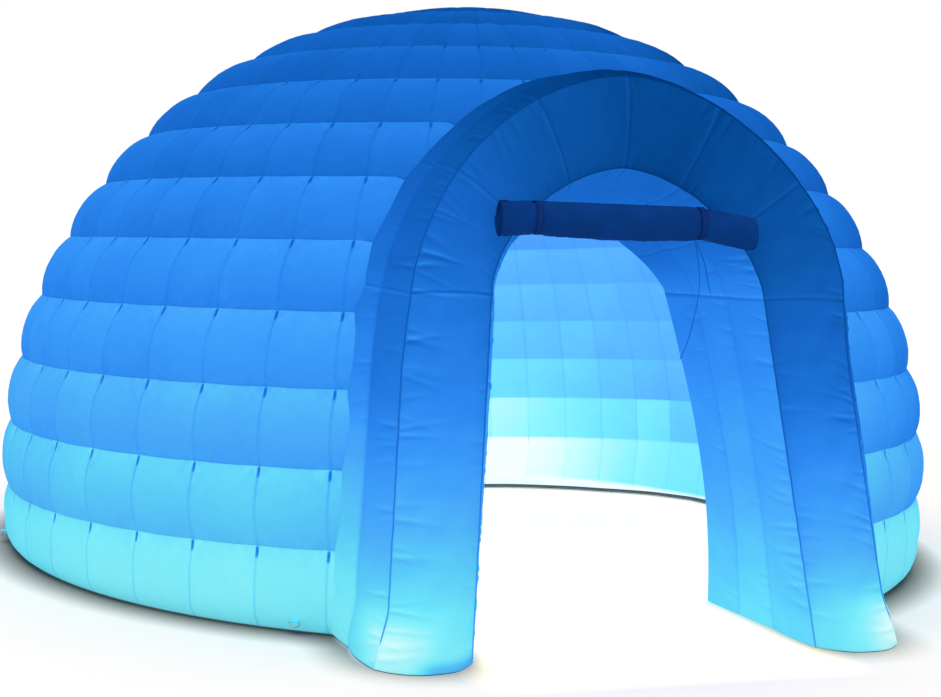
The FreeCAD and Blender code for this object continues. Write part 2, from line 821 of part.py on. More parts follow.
def make_grille():
    """A moulded grille over the intake, outside the skin."""
    flange = size("scroll_half") + 0.6 + 192
    grille = new_body("intake_grille", blower_place(flange))
    rings = [circle(size("grille_radius")), circle(size("intake_radius") - 6)]
    pad(grille, sketch(grille, "XY_Plane", rings), "sizes.grille_thick")
    for radius in GRILLE_RINGS:
        ring = [circle(radius + BAR), circle(radius - BAR)]
        pad(grille, sketch(grille, "XY_Plane", ring), "sizes.grille_thick")
    reach = size("intake_radius") - 3
    for turn in (0, 60, 120):
        c, s = math.cos(math.radians(turn)), math.sin(math.radians(turn))
        ends = [(-reach, -BAR), (reach, -BAR), (reach, BAR), (-reach, BAR)]
        bar = polygon([(x * c - y * s, x * s + y * c) for x, y in ends])
        pad(grille, sketch(grille, "XY_Plane", bar), "sizes.grille_thick")


def make_outlet():
    """Outlet flap, shut by its own weight when the blower stops."""
    reach, middle = size("outlet_reach"), size("blower_middle")
    top = size("blower_level") + size("scroll_radius")
    along_y = Vector(0, 1, 0)

    def rod(radius, half_length):
        start = Vector(reach + PIN_OUT, middle - half_length, top + PIN_UP)
        return Part.makeCylinder(radius, 2 * half_length, start, along_y)

    sewn("flap_pin", [rod(1.5, EAR_INSIDE + EAR_WIDTH + 2)])
    wide, narrow = size("scroll_half") - 4, EAR_INSIDE - 1
    under = 4.5  # the plate's top edge swings clear of the lugs
    drop = size("outlet_height") - under - 2
    left = reach + PIN_OUT - 1
    low = top - under - drop
    plate = Part.makeBox(2, 2 * wide, drop, Vector(left, middle - wide, low))
    start = Vector(left, middle - narrow, top - under - 2)
    link = Part.makeBox(2, 2 * narrow, PIN_UP + under + 2, start)
    flap = plate.fuse([link, rod(3.4, narrow)]).cut(rod(1.6, narrow + 1))
    sewn("outlet_flap", [flap.removeSplitter()])


def make_feet():
    """Two cross rails under the scroll, each on two rubber feet."""
    low = size("blower_level") - size("scroll_radius")
    middle = size("blower_middle")
    feet, rails, screws = [], [], []
    for x in (-RAIL_MIDDLE, RAIL_MIDDLE):
        depth = 2 * size("scroll_half")
        corner = Vector(x - 10, middle - depth / 2, 16)
        rail = Part.makeBox(20, depth, low + 8, corner)
        scroll = Part.makeCylinder(
            size("scroll_radius") + 0.4,
            400,
            Vector(0, middle - 200, size("blower_level")),
            Vector(0, 1, 0),
        )
        cut = rail.cut(scroll)
        rails.append(min(cut.Solids, key=lambda s: s.BoundBox.ZMin))
        for y in (middle - 44, middle + 44):
            feet.append(Part.makeCylinder(9, 11.6, Vector(x, y, 4)))
    sewn("blower_rails", rails)
    sewn("blower_feet", feet)
    for angle in CLIP_TURNS:
        turn = math.radians(angle)
        radius = size("scroll_radius") + 3.1
        x, z = radius * math.cos(turn), radius * math.sin(turn)
        start = Vector(x, middle - 20, size("blower_level") + z)
        screws.append(Part.makeCylinder(3, 40, start, Vector(0, 1, 0)))
    sewn("housing_clips", screws)


# ---- lights --------------------------------------------------------------


LAMP_GAP = 36  # degrees without a light strip on each side of the entrance


def lamp_section(slack=0.0):
    inner, low = size("lamp_radius") - slack, size("lamp_level") - slack
    outer = inner + size("lamp_width") + 2 * slack
    high = low + size("lamp_thick") + 2 * slack
    corners = [(inner, low), (outer, low), (outer, high), (inner, high)]
    points = [Vector(x, 0, z) for x, z in corners]
    return Part.Face(Part.makePolygon(points + points[:1]))


def make_lights():
    thick = size("lamp_thick")
    start, sweep = FRONT + LAMP_GAP, 360 - 2 * LAMP_GAP
    sewn("led_strip", [turn_section(lamp_section(), start, sweep)])

    modules = []
    middle = (size("door_foot") + size("arch_foot")) / 2
    for side in (-1, 1):
        corner = Vector(side * middle - 40, -2540, size("lamp_level"))
        modules.append(Part.makeBox(80, 440, thick, corner))
    sewn("led_foot_modules", modules)

    step = 360 / size("column_count")
    around = turn_section(lamp_section(0.3), start - 5, sweep + 10)
    clips = []
    for column in range(5, 43, 2):
        if abs(column + 0.5 - 24) < 3:
            continue
        clip = Part.makeBox(
            size("lamp_width") + 10,
            10,
            thick + 5,
            Vector(size("lamp_radius") - 5, -5, size("ground_gap") - 0.2),
        )
        clip.rotate(CENTRE, UP, FRONT + (column + 0.5) * step)
        clips.append(clip.cut(around))
    sewn("led_clips", clips)
    make_controller()


def make_controller():
    """Driver of the light strip, beside the blower."""
    length, depth, height, wall = 70, 110, 40, 3
    corner = Vector(-420, 2050, 6)
    box = Part.makeBox(length, depth, height, corner)
    inset = Vector(wall, wall, wall)
    hollow = Part.makeBox(length - 2 * wall, depth - 2 * wall, height, corner + inset)
    sewn("led_controller_box", [box.cut(hollow)])
    lid = Part.makeBox(length, depth, wall, corner + Vector(0, 0, height + 0.2))
    sewn("led_controller_lid", [lid])


# ---- zips and anchors ----------------------------------------------------

ZIP_LEVEL = 196  # height of the deflation zip, on the lowest row's widest line
ZIP_START = 112  # where it starts, in degrees from +X
ANCHOR_TURNS = (33, 90, 150, 210, 270, 327)  # degrees from the entrance


def ring_bar(inner, outer, low, high, start, sweep):
    corners = [
        Vector(inner, 0, low),
        Vector(outer, 0, low),
        Vector(outer, 0, high),
        Vector(inner, 0, high),
    ]
    section = Part.Face(Part.makePolygon(corners + corners[:1]))
    return turn_section(section, start, sweep)


def skin_reach(level):
    """Outside of the lowest row at this height."""
    low = ground_elevation(size("dome_radius"))
    arc = row_arc(size("dome_radius"), size("puff"), low, low + size("row_step"))
    cut = Part.makeLine(Vector(0, 0, level), Vector(BIG, 0, level))
    return cut.distToShape(arc)[1][0][0].x


def make_zip():
    """Deflation zip across the back of the lowest row."""
    reach = skin_reach(ZIP_LEVEL)
    half = size("zip_height") / 2
    start, sweep = ZIP_START, size("zip_turn")
    tape = ring_bar(reach + 1, reach + 2.4, ZIP_LEVEL - half, ZIP_LEVEL + half, start, sweep)
    teeth = ring_bar(reach + 2.4, reach + 4.4, ZIP_LEVEL - 3, ZIP_LEVEL + 3, start, sweep)
    sewn("zip_tape", [tape.fuse(teeth).removeSplitter()])

    along = start + 0.9  # the slider rests at the closed end
    body = Part.makeBox(5, 30, 18, Vector(reach + 2.8, -15, ZIP_LEVEL - 9))
    slot = ring_bar(reach + 2, reach + 4.9, ZIP_LEVEL - 3.5, ZIP_LEVEL + 3.5, -3, 6)
    bridge = Part.makeBox(9, 4, 9, Vector(reach + 7.7, -13, ZIP_LEVEL - 4.5))
    bore = Part.makeCylinder(1.5, 14, Vector(reach + 13.5, -11, ZIP_LEVEL - 7))
    slider = body.fuse(bridge).cut(slot).cut(bore)
    slider.rotate(CENTRE, UP, along)
    sewn("zip_slider", [slider])

    pin = Part.makeCylinder(1.2, 12, Vector(reach + 13.5, -11, ZIP_LEVEL - 6))
    tab = Part.makeBox(2.4, 40, 12, Vector(reach + 12.3, -6.6, ZIP_LEVEL - 6))
    cheeks = [
        Part.makeBox(2.4, 7, 1, Vector(reach + 12.3, -12.2, ZIP_LEVEL + z))
        for z in (-6, 5)
    ]
    pull = tab.fuse([pin] + cheeks).removeSplitter()
    pull.rotate(CENTRE, UP, along)
    sewn("zip_pull", [pull])


def make_anchors():
    wire = size("wire")
    reach, level = size("anchor_reach"), size("anchor_level")
    shell = bulk(size("dome_radius") + 1, size("puff"))
    tabs = []
    for number, turn in enumerate(ANCHOR_TURNS, start=1):
        angle = FRONT + turn
        tube = Part.makeCylinder(wire + 2.4, 36, Vector(reach, -18, level), Vector(0, 1, 0))
        hole = Part.makeCylinder(wire + 0.4, 40, Vector(reach, -20, level), Vector(0, 1, 0))
        flat = Part.makeBox(60, 36, 2.2, Vector(reach - wire - 60, -18, level + 2.4))
        tab = tube.fuse(flat).cut(hole).cut(shell)
        tab = max(tab.Solids, key=lambda s: s.Volume)
        tab.rotate(CENTRE, UP, angle)
        tabs.append(tab)
        make_ring(number, angle)
    sewn("anchor_tabs", tabs)


def make_ring(number, angle):
    """A D-shaped ring that hangs from its straight bar."""
    bow = size("ring_half")
    name = f"anchor_ring_{number}"
    torus = primitive("Torus", name + "_bow", Radius1="sizes.ring_half", Radius2="sizes.wire")
    torus.Angle3 = 180
    bar = primitive("Cylinder", name + "_bar", Radius="sizes.wire", Height="2 * sizes.ring_half")
    bar.Placement = Placement(Vector(-bow, 0, 0), Rotation(Vector(0, 1, 0), 90))
    knuckles = []
    for side in (-1, 1):
        knuckle = primitive("Sphere", f"{name}_end_{side + 1}", Radius="sizes.wire")
        knuckle.Placement = Placement(Vector(side * bow, 0, 0), Rotation())
        knuckles.append(knuckle)
    ring = doc.addObject("Part::MultiFuse", name)
    ring.Shapes = [torus, bar] + knuckles
    hang = Rotation(Vector(1, 0, 0), -90)
    spot = polar(size("anchor_reach"), angle) + Vector(0, 0, size("anchor_level"))
    facing = Rotation(UP, angle - 90)
    keep(ring, name, Placement(SHIFT + spot, facing.multiply(hang)))


# ---- build ---------------------------------------------------------------


def check_all():
    for made in doc.Objects:
        if "Invalid" in made.State or "Error" in made.State:
            raise SystemExit(f"{made.Label} did not compute")
    for piece in pieces:
        shape = piece.Shape
        if shape.isNull() or not shape.isValid() or not shape.Solids:
            raise SystemExit(f"{piece.Label} has no valid solid")


def main():
    archway = make_skins()
    make_webs(archway)
    make_base(archway)
    make_arch()
    make_door()
    make_tails()
    make_blower()
    make_lights()
    make_zip()
    make_anchors()
    doc.recompute()
    check_all()
    os.makedirs("parts", exist_ok=True)
    for piece in pieces:
        piece.Shape.exportStep(f"parts/{piece.Label}.step")
    boxes = [piece.Shape.optimalBoundingBox(True, False) for piece in pieces]
    low = min(box.YMin for box in boxes)
    high = max(box.YMax for box in boxes)
    print(len(pieces), "sub-parts; depth from", round(low, 2), "to", round(high, 2))


main()
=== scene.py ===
import json
import math

import bpy
import numpy as np
from mathutils import Matrix, Vector
from mathutils.bvhtree import BVHTree

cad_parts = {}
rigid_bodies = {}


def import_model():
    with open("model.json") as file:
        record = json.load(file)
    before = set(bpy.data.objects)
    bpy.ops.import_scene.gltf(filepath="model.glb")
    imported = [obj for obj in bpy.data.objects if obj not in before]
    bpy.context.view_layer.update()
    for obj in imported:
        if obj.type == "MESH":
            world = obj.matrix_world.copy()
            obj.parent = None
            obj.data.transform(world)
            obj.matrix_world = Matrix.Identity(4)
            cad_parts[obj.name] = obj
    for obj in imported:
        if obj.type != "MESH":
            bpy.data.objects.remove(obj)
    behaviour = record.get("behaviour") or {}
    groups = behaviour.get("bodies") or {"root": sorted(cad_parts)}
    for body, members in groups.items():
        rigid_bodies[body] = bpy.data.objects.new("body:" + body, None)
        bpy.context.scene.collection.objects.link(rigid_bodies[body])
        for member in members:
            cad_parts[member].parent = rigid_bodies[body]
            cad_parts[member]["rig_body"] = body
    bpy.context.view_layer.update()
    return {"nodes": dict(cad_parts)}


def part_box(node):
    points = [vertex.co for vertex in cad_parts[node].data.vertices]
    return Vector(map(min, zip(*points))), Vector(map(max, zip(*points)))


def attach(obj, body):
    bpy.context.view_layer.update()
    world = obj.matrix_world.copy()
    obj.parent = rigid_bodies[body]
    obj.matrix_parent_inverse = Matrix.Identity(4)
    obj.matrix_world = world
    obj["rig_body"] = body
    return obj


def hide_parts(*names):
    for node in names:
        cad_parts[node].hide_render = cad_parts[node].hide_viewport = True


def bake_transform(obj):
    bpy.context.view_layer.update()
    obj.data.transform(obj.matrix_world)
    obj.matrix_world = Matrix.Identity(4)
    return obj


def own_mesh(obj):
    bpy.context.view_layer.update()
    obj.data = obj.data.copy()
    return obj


# An inflatable igloo shelter, lit from inside by strips at its foot: a quilted
# double-wall dome, a leaning entrance arch and a rolled-up door. Metres, in the
# frame of the CAD model: +Z up, the entrance faces -Y.

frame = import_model()
nodes = frame["nodes"]

crown_low, crown_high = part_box("outer_crown_panel")
AXIS_Y = (crown_low.y + crown_high.y) / 2
LIFT = 0.424  # height of the spheres' centre
OUTER_R = 2.468
ROOM_R = 2.0
GROUND = 0.004
ROWS = 11
COLUMNS = 48
ROW_STEP = math.radians(7.8)
COLUMN_STEP = math.tau / COLUMNS
FIRST_SEAM = math.asin((GROUND - LIFT) / OUTER_R)
CROWN_EDGE = FIRST_SEAM + ROWS * ROW_STEP
BELTS = (("lower", 0, 4), ("middle", 4, 8), ("upper", 8, 11))
CLOTH = 0.0016  # thickness of the coated cloth

LEAN = math.radians(13.4)
SPRING = 1.45  # height at which the legs end and the crown starts
FRONT_Y = AXIS_Y - 2.666
FACE_NORMAL = Vector((0, -math.cos(LEAN), math.sin(LEAN)))
FACE_UP = Vector((0, math.sin(LEAN), math.cos(LEAN)))
# Outlines: half widths at the ground and at the spring, the crown's rise and
# roundness, its lean to the right, and how much wider the foot splays.
OUTLINE = ("foot", "half", "rise", "power", "sway", "splay")
DOOR = dict(zip(OUTLINE, (0.762, 0.622, 0.547, 1.7, 0.0, 0.0)))
ARCH = dict(zip(OUTLINE, (1.113, 0.985, 0.945, 1.8, 0.045, 0.042)))
SAG_TURN = (-0.020, 0.014)  # the rings' slope, towards the back and the left
ROOM_TURN = (-0.058, 0.032)  # the same, inside the room
CROSS_SEAMS = (0, 35, 62, 90, 118, 145, 180)

ROLL = {"x0": -0.6075, "x1": 0.5385, "level": 1.770, "stand": 0.096}
ROLL_TURNS = 8.5
TIES = (-0.446, 0.290)
HEADER = (-0.545, 0.495)  # from its left end to its right end

TAB_REACH = 2.5  # bar of an anchor ring, from the dome's axis
TAB_LEVEL = 0.058
TAB_GAP = 0.0048  # from the bar's middle to the webbing
FLAP_THICK = 0.008


# Materials

# Colours of the lit cloth, from unlit navy to the white glare at the strip.
GLOW = (
    (0.00, (2, 50, 112)),
    (0.10, (6, 75, 152)),
    (0.20, (14, 90, 176)),
    (0.30, (22, 101, 200)),
    (0.40, (31, 118, 220)),
    (0.50, (44, 138, 243)),
    (0.60, (60, 158, 254)),
    (0.70, (78, 178, 253)),
    (0.80, (92, 207, 252)),
    (0.90, (112, 232, 254)),
    (1.00, (135, 243, 255)),
    (1.20, (205, 254, 255)),
    (1.40, (250, 255, 255)),
)
BRIGHTEST = GLOW[-1][0]
# Unevenness of the lit cloth: a noise's scale, detail, roughness and weight.
MOTTLE = ((2.4, 2, 0.5, 0.07), (19, 4, 0.6, 0.035), (420, 2, 0.5, 0.03))


def linear(rgb):
    """sRGB 0-255 to the linear values that a shader takes."""
    share = [c / 255 for c in rgb]
    return [c / 12.92 if c < 0.04045 else ((c + 0.055) / 1.055) ** 2.4 for c in share]


def darker_lighter(rgb, varied):
    """A colour's linear values, less and more by a share."""
    base = linear(rgb)
    return [c * (1 - varied) for c in base], [min(1, c * (1 + varied)) for c in base]


class Graph:
    """A material's node tree, with its Principled shader."""

    def __init__(self, name, **sockets):
        self.mat = bpy.data.materials.new(name)
        self.mat.use_nodes = True
        self.tree = self.mat.node_tree
        self.shader = self.tree.nodes["Principled BSDF"]
        self.set(**sockets)

    def set(self, **sockets):
        """Sets the shader's sockets, named with _ for each space."""
        for key, value in sockets.items():
            self.put(self.shader.inputs[key.replace("_", " ")], value)

    def put(self, socket, value):
        """Links a socket to another one's value, or sets it."""
        if isinstance(value, bpy.types.NodeSocket):
            self.tree.links.new(value, socket)
        elif hasattr(value, "__len__") and len(value) == 3 and socket.type == "RGBA":
            socket.default_value = (*value, 1)
        else:
            socket.default_value = value

    def node(self, kind, inputs=(), **props):
        made = self.tree.nodes.new("ShaderNode" + kind)
        for key, value in props.items():
            setattr(made, key, value)
        for key, value in dict(inputs).items():
            self.put(made.inputs[key], value)
        return made

    def math(self, operation, a, b=0.0, c=0.0, clamp=False):
        made = self.node("Math", {0: a, 1: b, 2: c}, operation=operation)
        made.use_clamp = clamp
        return made.outputs[0]

    def times(self, a, b):
        return self.math("MULTIPLY", a, b)

    def minus(self, a, b):
        return self.math("SUBTRACT", a, b)

    def attribute(self, name):
        return self.node("Attribute", attribute_name=name).outputs["Fac"]

    def coords(self, kind="Object"):
        return self.node("TexCoord").outputs[kind]

    def noise(self, vector, scale, detail=3.0, rough=0.5):
        inputs = {"Vector": vector, "Scale": scale, "Detail": detail, "Roughness": rough}
        return self.node("TexNoise", inputs).outputs["Fac"]

    def ramp(self, value, stops):
        made = self.node("ValToRGB", {0: value})
        line = made.color_ramp.elements
        while len(line) < len(stops):
            line.new(0.5)
        for element, (place, colour) in zip(line, stops):
            element.position = place
            element.color = (*colour, 1)
        return made.outputs["Color"]

    def mix(self, share, a, b, blend="MIX"):
        made = self.node("Mix", data_type="RGBA", blend_type=blend)
        self.put(made.inputs[0], share)
        self.put(made.inputs[6], a)
        self.put(made.inputs[7], b)
        return made.outputs[2]

    def bump(self, height, distance, strength=1.0, below=None):
        inputs = {"Height": height, "Distance": distance, "Strength": strength}
        made = self.node("Bump", inputs)
        if below is not None:
            self.put(made.inputs["Normal"], below)
        return made.outputs["Normal"]

    def folds(self):
        """Short sharp creases, both ways off the vertical, on the cloth's UV."""
        total = None
        for turn, far in ((0.6, 0.0), (-0.75, 5.0)):
            spin = {"Vector": self.coords("UV"), "Rotation": (0, 0, turn)}
            spin["Location"] = (far, far, 0)
            spun = self.node("Mapping", spin).outputs[0]
            thin = self.node("Mapping", {"Vector": spun, "Scale": (34.0, 7.0, 1.0)})
            wave = self.minus(self.noise(thin.outputs[0], 1.0, 1.5, 0.4), 0.5)
            total = wave if total is None else self.math("ADD", total, wave)
        return total

    def weave(self, pitch, depth, below=None):
        """Warp and weft threads on the cloth's own UV, in metres."""
        across = self.node("SeparateXYZ", {0: self.coords("UV")}).outputs
        turns = [self.times(across[axis], math.tau / pitch) for axis in (0, 1)]
        height = self.times(*(self.math("SINE", turn) for turn in turns))
        return self.bump(height, depth, 0.6, below)


STITCH = 0.007  # from one stitch to the next
SEAM_GAP = 0.006  # from the seam to its rows of stitches
HALF_THREAD = 0.0009


def stitches(graph, offset, along):
    """Thread dashes at one distance from a seam: 1 on the thread."""
    away = graph.minus(graph.math("ABSOLUTE", offset), SEAM_GAP)
    line = graph.math("LESS_THAN", graph.math("ABSOLUTE", away), HALF_THREAD)
    phase = graph.math("FRACT", graph.math("DIVIDE", along, STITCH))
    return graph.times(line, graph.math("LESS_THAN", phase, 0.6))


def glow_cloth(name, strength, body, pucker=0.010, seed=0.0, haze=0.0):
    """Coated cloth with light behind it. Its attributes: lit, how much light;
    mark, a darker seam; off and run, across and along a seam; loose, creased."""
    graph = Graph(name, Roughness=0.6, Specular_IOR_Level=0.0)
    place = graph.node("Mapping", {"Vector": graph.coords(), "Location": (seed,) * 3})
    place = place.outputs[0]
    lit = graph.attribute("lit")
    for scale, detail, rough, much in MOTTLE:
        wobble = graph.minus(graph.noise(place, scale, detail, rough), 0.5)
        lit = graph.math("MULTIPLY_ADD", wobble, much, lit)
    unmarked = graph.math("MULTIPLY_ADD", graph.attribute("mark"), -0.78, 1.0)
    lit = graph.times(lit, unmarked)
    sewn = stitches(graph, graph.attribute("off"), graph.attribute("run"))
    lit = graph.math("MULTIPLY_ADD", sewn, -0.05, lit)
    # The creases change the glow too, lighter and darker along them: partly light through
    # the folds, partly painted shade.
    folds = graph.times(graph.folds(), graph.attribute("loose"))
    lit = graph.math("MULTIPLY_ADD", folds, 0.16, lit)
    share = graph.math("DIVIDE", lit, BRIGHTEST)
    colour = graph.ramp(share, [(p / BRIGHTEST, linear(c)) for p, c in GLOW])
    if haze:
        colour = graph.mix(haze, colour, (1, 1, 1))
    graph.set(Emission_Color=colour, Emission_Strength=strength)
    graph.set(Base_Color=graph.mix(1.0, colour, (body,) * 3, "MULTIPLY"))
    shallow = graph.bump(graph.noise(place, 11, 3), pucker, 0.5)
    creased = graph.bump(graph.noise(place, 46, 3, 0.6), 0.0022, 0.5, shallow)
    creased = graph.bump(folds, 0.006, 0.7, creased)
    thread = graph.bump(sewn, 0.0008, 0.8, creased)
    graph.set(Normal=graph.weave(0.0011, 0.00018, thread))
    return graph.mat


def woven(name, rgb, pitch, glow=0.0, stripe=None):
    """Cloth, webbing or cord: threads, and patches of lighter wear. A glow makes it emit
    its own colour: painted light, as no lamp is behind it.
    """
    graph = Graph(name, Roughness=0.8, Specular_IOR_Level=0.04)
    place = graph.coords()
    deep, worn = darker_lighter(rgb, 0.18)
    colour = graph.ramp(graph.noise(place, 9, 4, 0.6), [(0.3, deep), (0.72, worn)])
    threads = graph.noise(place, 1 / pitch, 2)
    colour = graph.mix(graph.times(threads, 0.35), colour, deep)
    if stripe:
        across = graph.node("SeparateXYZ", {0: graph.coords("UV")}).outputs[0]
        off = graph.math("ABSOLUTE", graph.minus(across, 0.5))
        edge = graph.math("GREATER_THAN", off, 0.36)
        colour = graph.mix(graph.times(edge, 0.5), colour, linear(stripe))
    graph.set(Base_Color=colour)
    # painted light: the cloth glows in its own colour
    if glow:
        graph.set(Emission_Color=colour, Emission_Strength=glow)
    crease = graph.bump(graph.noise(place, 34, 3, 0.55), 0.003, 0.5)
    graph.set(Normal=graph.weave(pitch, 0.0004, crease))
    return graph.mat


def hard(name, rgb, metallic, rough, scale):
    """Metal, rubber or moulded plastic: grain, and dull or polished patches."""
    graph = Graph(name, Metallic=metallic)
    place = graph.coords()
    grain = graph.noise(place, scale, 5, 0.65)
    broad = graph.noise(place, scale / 9, 3, 0.5)
    dark, light = darker_lighter(rgb, 0.15)
    graph.set(Base_Color=graph.ramp(broad, [(0.3, dark), (0.7, light)]))
    graph.set(Roughness=graph.math("MULTIPLY_ADD", grain, 0.22, rough - 0.11))
    graph.set(Normal=graph.bump(grain, 0.0004, 0.5))
    return graph.mat


SKIN = glow_cloth("lit_skin", 0.635, 0.30)
ROOM = glow_cloth("lit_room_skin", 0.86, 0.22, 0.006, 3.0, haze=0.035)
FACE = glow_cloth("lit_arch_face", 0.635, 0.30, 0.006, 7.0)
LINING = glow_cloth("lit_arch_lining", 0.70, 0.28, 0.006, 5.0)
PIPING = glow_cloth("lit_piping", 0.55, 0.30, 0.002, 9.0)
# The glow given to the door cloth, the webbing and the cord is painted light.
NAVY = woven("navy_door_cloth", (2, 50, 116), 0.0012, glow=0.14)
NAVY_WEB = woven("navy_webbing", (8, 42, 102), 0.0022, glow=0.13, stripe=(5, 34, 88))
SKY_WEB = woven("sky_webbing", (74, 200, 242), 0.0022, glow=0.45, stripe=(60, 184, 238))
# dark grey cloth for the hem tube that stands in for the shadow line at the room wall's
# foot: painted shadow
HEM_SHADOW_LINE = woven("grey_hem_shadow_line", (112, 120, 114), 0.0016)
CORD = woven("navy_cord", (16, 92, 196), 0.0015, glow=0.36)
WEB_CLOTH = woven("white_web_cloth", (214, 226, 236), 0.0012)
BASE_CLOTH = woven("grey_base_cloth", (150, 160, 170), 0.0014)
ZIP_TAPE = woven("navy_zip_tape", (12, 48, 110), 0.0010)
STEEL = hard("bright_steel", (178, 180, 184), 1.0, 0.34, 240)
ZINC = hard("zinc_plate", (158, 160, 166), 1.0, 0.42, 300)
ALUMINIUM = hard("cast_aluminium", (150, 152, 156), 1.0, 0.5, 420)
BLACK = hard("black_moulding", (24, 25, 28), 0.0, 0.55, 520)
RUBBER = hard("grey_rubber", (44, 45, 48), 0.0, 0.78, 380)
FIBRE = hard("glass_fibre_rod", (214, 208, 180), 0.0, 0.4, 300)


def lamp_material():
    """Silicone sleeve with a row of bright chips behind it."""
    graph = Graph("lit_silicone", Roughness=0.35)
    chips = graph.node("TexVoronoi", {"Vector": graph.coords(), "Scale": 60.0})
    near = graph.math("LESS_THAN", chips.outputs["Distance"], 0.35)
    colour = graph.mix(near, linear((170, 232, 255)), linear((245, 255, 255)))
    graph.set(Base_Color=colour, Emission_Color=colour, Emission_Strength=2.0)
    return graph.mat


# Meshes


def link(obj):
    bpy.context.scene.collection.objects.link(obj)
    return obj


def pair(across, along):
    """uv from two arrays that broadcast."""
    return np.stack(np.broadcast_arrays(across, along), -1)


def closed(turn):
    """A row of turns with the full turn at its end, as uv needs."""
    return np.append(turn, math.tau)[None]


def quads(ids, wrap):
    """Corner indices of a grid's faces."""
    right = np.roll(ids, -1, axis=1) if wrap else ids[:, 1:]
    left = ids if wrap else ids[:, :-1]
    return np.stack([left[:-1], right[:-1], right[1:], left[1:]], -1).reshape(-1, 4)


def grid_piece(name, grids, material, thick=CLOTH, flip=False, body="envelope"):
    """One cloth piece from grids of points. Each grid is a dict of points
    (rows, columns, 3), uv in metres, its attributes, wrap and kept faces."""
    points, faces, uvs, start = [], [], [], 0
    values = {key: [] for key in ("lit", "mark", "off", "run", "loose")}
    for grid in grids:
        p, wrap = grid["points"], grid.get("wrap", False)
        rows, columns = p.shape[:2]
        ids = np.arange(rows * columns).reshape(rows, columns) + start
        these = quads(ids, wrap)
        uv_ids = np.arange(rows * (columns + wrap)).reshape(rows, columns + wrap)
        uv_corners = grid["uv"].reshape(-1, 2)[quads(uv_ids, False)]
        if "keep" in grid:
            these, uv_corners = these[grid["keep"]], uv_corners[grid["keep"]]
        points.append(p.reshape(-1, 3))
        faces.append(these)
        uvs.append(uv_corners.reshape(-1, 2))
        for key, found in values.items():
            given = grid.get(key, 1.0 if key == "off" else 0.0)
            found.append(np.broadcast_to(given, (rows, columns)).reshape(-1))
        start += rows * columns
    points, faces, uvs = map(np.concatenate, (points, faces, uvs))
    used = np.unique(faces)
    fresh = np.full(len(points), -1)
    fresh[used] = np.arange(len(used))
    faces = fresh[faces]
    if flip:
        faces = faces[:, ::-1]
        uvs = uvs.reshape(-1, 4, 2)[:, ::-1].reshape(-1, 2)
    mesh = bpy.data.meshes.new(name)
    mesh.from_pydata(points[used].tolist(), [], faces.tolist())
    mesh.uv_layers.new(name="cloth").data.foreach_set("uv", uvs.astype("f").ravel())
    for key, found in values.items():
        layer = mesh.attributes.new(key, "FLOAT", "POINT")
        layer.data.foreach_set("value", np.concatenate(found)[used].astype("f"))
    mesh.polygons.foreach_set("use_smooth", np.ones(len(faces), bool))
    mesh.materials.append(material)
    obj = link(bpy.data.objects.new(name, mesh))
    if thick:
        shell = obj.modifiers.new("thickness", "SOLIDIFY")
        shell.thickness = thick
        shell.offset = -1
    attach(obj, body)
    return obj


def tag(piece, slot, *stands_for):
    """Hides the CAD nodes that a piece stands for. The piece and slot arguments are not
    used.
    """
    if stands_for:
        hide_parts(*stands_for)


WAVES = 7


def ripple(x, y, z, wavelength, seed):
    """Smooth noise from -1 to 1: a few crossed waves of about one length."""
    draw = np.random.default_rng(seed)
    total = np.zeros(np.broadcast(x, y, z).shape)
    for _ in range(WAVES):
        way = draw.normal(size=3)
        way *= math.tau / wavelength / np.linalg.norm(way) * draw.uniform(0.6, 1.5)
        total += np.sin(way[0] * x + way[1] * y + way[2] * z + draw.uniform(0, math.tau))
    return total / math.sqrt(WAVES) / 1.6


def smooth(value, low, high):
    share = np.clip((value - low) / (high - low), 0, 1)
    return share * share * (3 - 2 * share)


def bell(value):
    return np.exp(-(value**2))


def arc(share, power=2.0):
    """0 at both ends of a span and 1 in its middle; a high power is flatter."""
    return 1 - np.abs(2 * share - 1) ** power


# Entrance outlines


def front_y(z):
    return FRONT_Y + np.asarray(z) * math.tan(LEAN)


LEG_STEPS = 230
CROWN_STEPS = 460


def stations(form):
    """x and z round an outline, from the right foot to the left foot. The crown is
    a superellipse."""
    leg = np.linspace(GROUND, SPRING, LEG_STEPS, endpoint=False)
    out = form["foot"] + (form["half"] - form["foot"]) * leg / SPRING
    out = out + form["splay"] * (1 - smooth(leg, 0, 0.24))
    angle = np.linspace(0, math.pi, CROWN_STEPS)
    along, up = np.cos(angle), np.sin(angle)
    power = 2 / form["power"]
    x = np.sign(along) * np.abs(along) ** power * form["half"]
    z = SPRING + np.abs(up) ** power * form["rise"]
    x = np.concatenate([out, x, -out[::-1]])
    z = np.concatenate([leg, z, leg[::-1]])
    return x + form["sway"] * smooth(z, 1.1, 1.8), z


FLARE = ((0, 0.05, 0.25, 0.8, 1.35, 2.1), (0.05, 0.07, 0.12, 0.135, 0.13, 0.03))
NARROWING = ((0, 0.5, 0.95, 1.2, 1.5, 1.8), (0.095, 0.115, 0.145, 0.162, 0.165, 0.20))


def flare(z):
    """How far the arch's side stands out of its front outline at the dome."""
    return np.interp(z, *FLARE)


def narrowing(z):
    """How far the doorway closes in from its front outline to the room."""
    return np.interp(z, *NARROWING)


# Angle of each station: below 0 on the right leg and above 180 on the left one.
LEG_ANGLE = np.linspace(-60, 0, LEG_STEPS, endpoint=False)
STATION_ANGLE = np.concatenate(
    [LEG_ANGLE, np.linspace(0, 180, CROWN_STEPS), 180 - LEG_ANGLE[::-1]]
)


def outward(x, z):
    """Unit normal of an outline in the XZ plane, away from the doorway."""
    dx, dz = np.gradient(x), np.gradient(z)
    size = np.hypot(dx, dz)
    return dz / size, -dx / size


def moved(form, by):
    """An outline's stations, moved outward by a distance for each height."""
    x, z = stations(form)
    nx, nz = outward(x, z)
    by = by(z)
    return x + nx * by, np.maximum(z + nz * by, GROUND)


